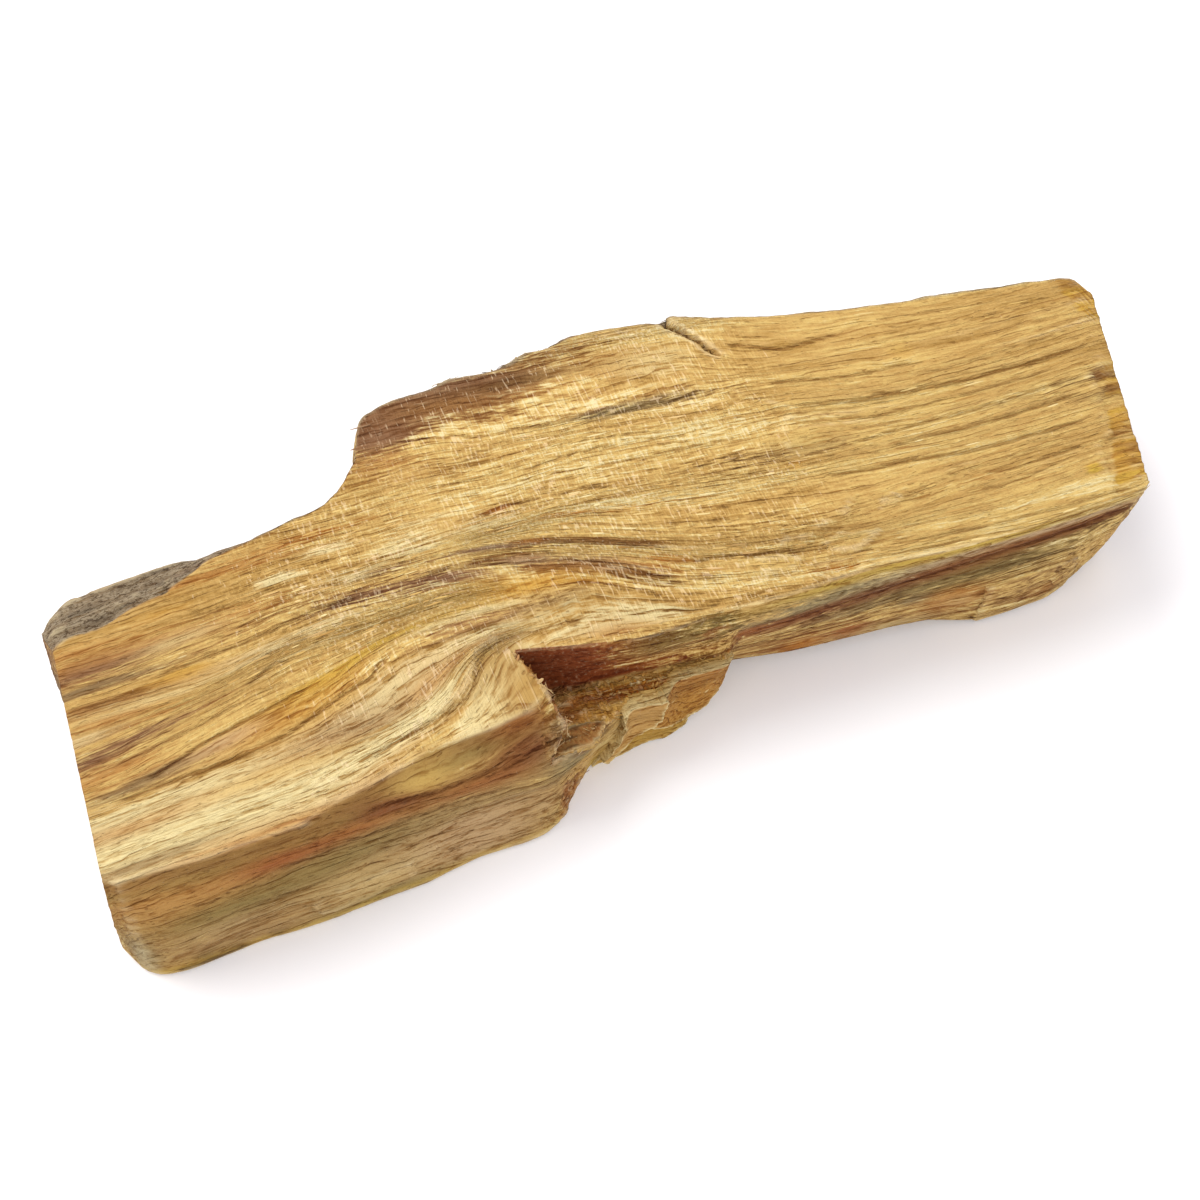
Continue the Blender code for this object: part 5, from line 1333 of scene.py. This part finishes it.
layers = {name: layerMesh(layer) for name, layer in tornLayers.items()}
for name, (spots, layerFaces, rim, away, folds) in layers.items():
    layer, ownGrain = tornLayers[name], grainPlace(spots)
    plain = {mask: np.zeros(len(spots)) for mask in masks}
    plain["front"] += 1
    ownLevel, ownStain, ownCover = paintWood(spots, ownGrain, plain)
    coats = [(shade, np.full(len(spots), amount)) for shade, amount in layer["shades"]]
    if layer["fold"]:
        coats.append(("rust", 0.5 * smooth(-folds, 0.2, 0.9)))
        wrinkles = grainNoise(spots, (0.7, 2.4, 0.5), 3, 91)
        coats.append(("umber", 0.75 * smooth(wrinkles, 0.08, 0.25)))
    # painted shadow along the outlines of the layers that lie over this one
    for upper in layer["under"]:
        near = toLine(spots[:, 0], spots[:, 2], layers[upper][2], closed=True)[0]
        coats.append(("umber", 0.75 * np.exp(-(near / layerStep["shaded"]) ** 2)))
    coats.append(("paleGold", 0.6 * (away >= layerStep["behind"])))
    # painted highlight along the torn rim, weaker on the folded layer
    edgeLight = 0.35 if layer["fold"] else 0.9
    coats.append(("cream", edgeLight * np.exp(-(away / layerStep["pale"]) ** 2)))
    for shade, amount in coats:
        ownStain, ownCover = layOver(ownStain, ownCover, shade, amount)
    piece = newMesh(name, inFrame(spots), layerFaces)
    none = np.zeros((len(spots), 3))
    giveAttributes(piece, {
        "grain": ownGrain[0], "grainRight": ownGrain[1], "rightShare": ownGrain[2], "level": ownLevel,
        "bold": none[:, 0] + 1.1, "stain": withAlpha(ownStain, ownCover), "zones": withAlpha(none),
        "marks": withAlpha(none), "crackDark": none[:, 0], "tear": none[:, 0] + 0.4})
    piece.data.materials.append(woodFinish)
    piece.data.shade_smooth()
    piece.data.set_sharp_from_angle(angle=0.8)
    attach(piece, "root")
print("torn layers:", sum(len(made[1]) for made in layers.values()), "faces")


# Geometry Nodes: slivers of fibre lying on the wood, and hairs and crumbs where it is torn
slivers = {"Density": 6.0e5, "Length": 0.0014, "Width": 0.00014, "Thickness": 0.00006, "Tilt": 0.012,
           "Turn": 0.06, "Seed": 3}
hairs = {"Density": 5.0e6, "Length": 0.0013, "Width": 0.00040, "Thickness": 0.00040, "Tilt": 0.45,
         "Turn": 0.7, "Seed": 8}
crumbs = {"Density": 3.0e6, "Length": 0.00050, "Width": 0.00038, "Thickness": 0.00030, "Tilt": 1.5,
          "Turn": 3.1, "Seed": 12}


# one bit of wood: a spindle for a sliver or a crumb, or a bent and tapered hair
def bitOfWood(tree, kind):
    if kind != "hair":
        return put(tree, "GeometryNodeMeshUVSphere",
                   {"Segments": 5, "Rings": 5 if kind == "sliver" else 4, "Radius": 0.5})
    bend = put(tree, "GeometryNodeCurveQuadraticBezier", {
        "Resolution": 5, "Start": (0, 0, -0.5), "Middle": (0.35, 0.2, 0.0), "End": (-0.1, 0.1, 0.5)})
    taper = 1.05 - put(tree, "GeometryNodeSplineParameter")["Factor"]
    bend = put(tree, "GeometryNodeSetCurveRadius", {"Curve": bend, "Radius": taper})
    edge = put(tree, "GeometryNodeCurvePrimitiveCircle", {"Resolution": 4, "Radius": 0.5})
    thin = put(tree, "GeometryNodeTransform", {"Geometry": edge, "Scale": (0.14, 0.14, 0.14)})
    return put(tree, "GeometryNodeCurveToMesh", {"Curve": bend, "Profile Curve": thin, "Fill Caps": True})


def looseWoodTree(kind, mask, values, material):
    tree, given, result = newTree(kind + "Scatter", "GeometryNodeTree", {"Geometry": None, **values},
                                  ["Geometry"])

    def chance(low, high, seed):
        return put(tree, "FunctionNodeRandomValue", {2: low, 3: high, "Seed": seed}, data_type="FLOAT")[1]

    spread = put(tree, "GeometryNodeDistributePointsOnFaces", {
        "Mesh": given["Geometry"], "Density": named(tree, mask) * given["Density"], "Seed": given["Seed"]})
    spots = put(tree, "GeometryNodeStoreNamedAttribute", {
        "Geometry": spread, "Name": "level", "Value": named(tree, "level") + chance(-0.16, 0.20, 21)},
        data_type="FLOAT", domain="POINT")
    upright = put(tree, "FunctionNodeAlignRotationToVector",
                  {"Vector": named(tree, "along", "FLOAT_VECTOR")}, axis="Z")
    facing = put(tree, "FunctionNodeAlignRotationToVector",
                 {"Rotation": upright, "Vector": spread["Normal"]}, axis="X", pivot_axis="Z")
    angles = put(tree, "ShaderNodeCombineXYZ", {
        0: chance(given["Turn"] * -1.0, given["Turn"], 22),
        1: chance(given["Tilt"] * -1.0, given["Tilt"], 23)})
    turn = put(tree, "FunctionNodeEulerToRotation", {0: angles})
    turned = put(tree, "FunctionNodeRotateRotation", {0: facing, 1: turn}, rotation_space="LOCAL")
    size = put(tree, "ShaderNodeCombineXYZ", {
        0: given["Thickness"] * chance(0.6, 1.4, 24), 1: given["Width"] * chance(0.5, 1.5, 25),
        2: given["Length"] * chance(0.3, 1.6, 26)})
    placed = put(tree, "GeometryNodeInstanceOnPoints", {
        "Points": spots, "Instance": bitOfWood(tree, kind), "Rotation": turned, "Scale": size})
    real = put(tree, "GeometryNodeRealizeInstances", {0: placed})
    soft = put(tree, "GeometryNodeSetShadeSmooth", {"Geometry": real, "Shade Smooth": kind == "hair"})
    done = put(tree, "GeometryNodeSetMaterial", {"Geometry": soft, "Material": material})
    return giveOut(tree, result, {"Geometry": done})


for kind, mask, values in (("sliver", "frayed", slivers), ("hair", "torn", hairs),
                           ("crumb", "torn", crumbs)):
    piece = bpy.data.objects.new(kind + "s", wood.data.copy())
    scene.collection.objects.link(piece)
    piece.data = runTree(piece, looseWoodTree(kind, mask, values, woodFinish), values)
    piece.data.name = piece.name
    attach(piece, "root")
    print(piece.name + ":", len(piece.data.polygons), "faces")


# floor, light and camera
def makeFloor():
    half, down = studio["floorHalf"], studio["floorDown"]
    corners = [(-half, -half, -down), (half, -half, -down), (half, half, -down), (-half, half, -down)]
    floor = newMesh("floor", np.array(corners), [(0, 1, 2, 3)])
    material = bpy.data.materials.new("paleFloor")
    material.use_nodes = True
    tree = material.node_tree
    where = put(tree, "ShaderNodeTexCoord")["Object"]
    colour = mixed(tree, noiseOn(where, 2.0, 0.5, 6.0), *studio["floorShades"])
    giveOut(tree, tree.nodes["Principled BSDF"], {
        "Base Color": colour, "Roughness": 0.9, "Specular IOR Level": 0.1})
    floor.data.materials.append(material)


def addLight(name, place, size, power, colour=(1, 1, 1)):
    lamp = bpy.data.lights.new(name, "AREA")
    lamp.shape, lamp.size, lamp.energy, lamp.color = "DISK", size, power, colour
    light = bpy.data.objects.new(name, lamp)
    light.location = place
    light.rotation_euler = (-Vector(place)).to_track_quat("-Z", "Y").to_euler()
    scene.collection.objects.link(light)


studio = {
    "key": ((-0.28, 0.46, 0.56), 0.80, 6.9, (1.0, 0.985, 0.95)),
    "fill": ((0.10, -0.70, 0.55), 0.90, 3.0, (1.0, 0.97, 0.94)),
    "sky": ((0.97, 0.96, 1.0, 1), 0.83),
    "camera": ((-0.040667, -0.097179, 0.1831), (0.92388, -0.38268, 0), (0.33141, 0.80010, 0.5),
               (0.19134, 0.46194, -0.86603)),
    "lens": 66, "sensor": 36, "clip": (0.01, 10),
    "floorHalf": 2.0, "floorDown": 0.00004,
    "floorShades": ((0.93, 0.925, 0.94, 1), (0.95, 0.945, 0.955, 1)),
}
makeFloor()
addLight("keyLight", *studio["key"])
addLight("fillLight", *studio["fill"])
scene.world = bpy.data.worlds.new("studio")
scene.world.use_nodes = True
sky = scene.world.node_tree.nodes["Background"]
sky.inputs["Color"].default_value, sky.inputs["Strength"].default_value = studio["sky"]

place, right, up, ahead = studio["camera"]
camera = bpy.data.objects.new("camera", bpy.data.cameras.new("camera"))
camera.data.lens, camera.data.sensor_width = studio["lens"], studio["sensor"]
camera.data.clip_start, camera.data.clip_end = studio["clip"]
camera.matrix_world = Matrix([(right[i], up[i], -ahead[i], place[i]) for i in range(3)] + [(0, 0, 0, 1)])
scene.collection.objects.link(camera)
scene.camera = camera
print("floor, lights and camera placed")
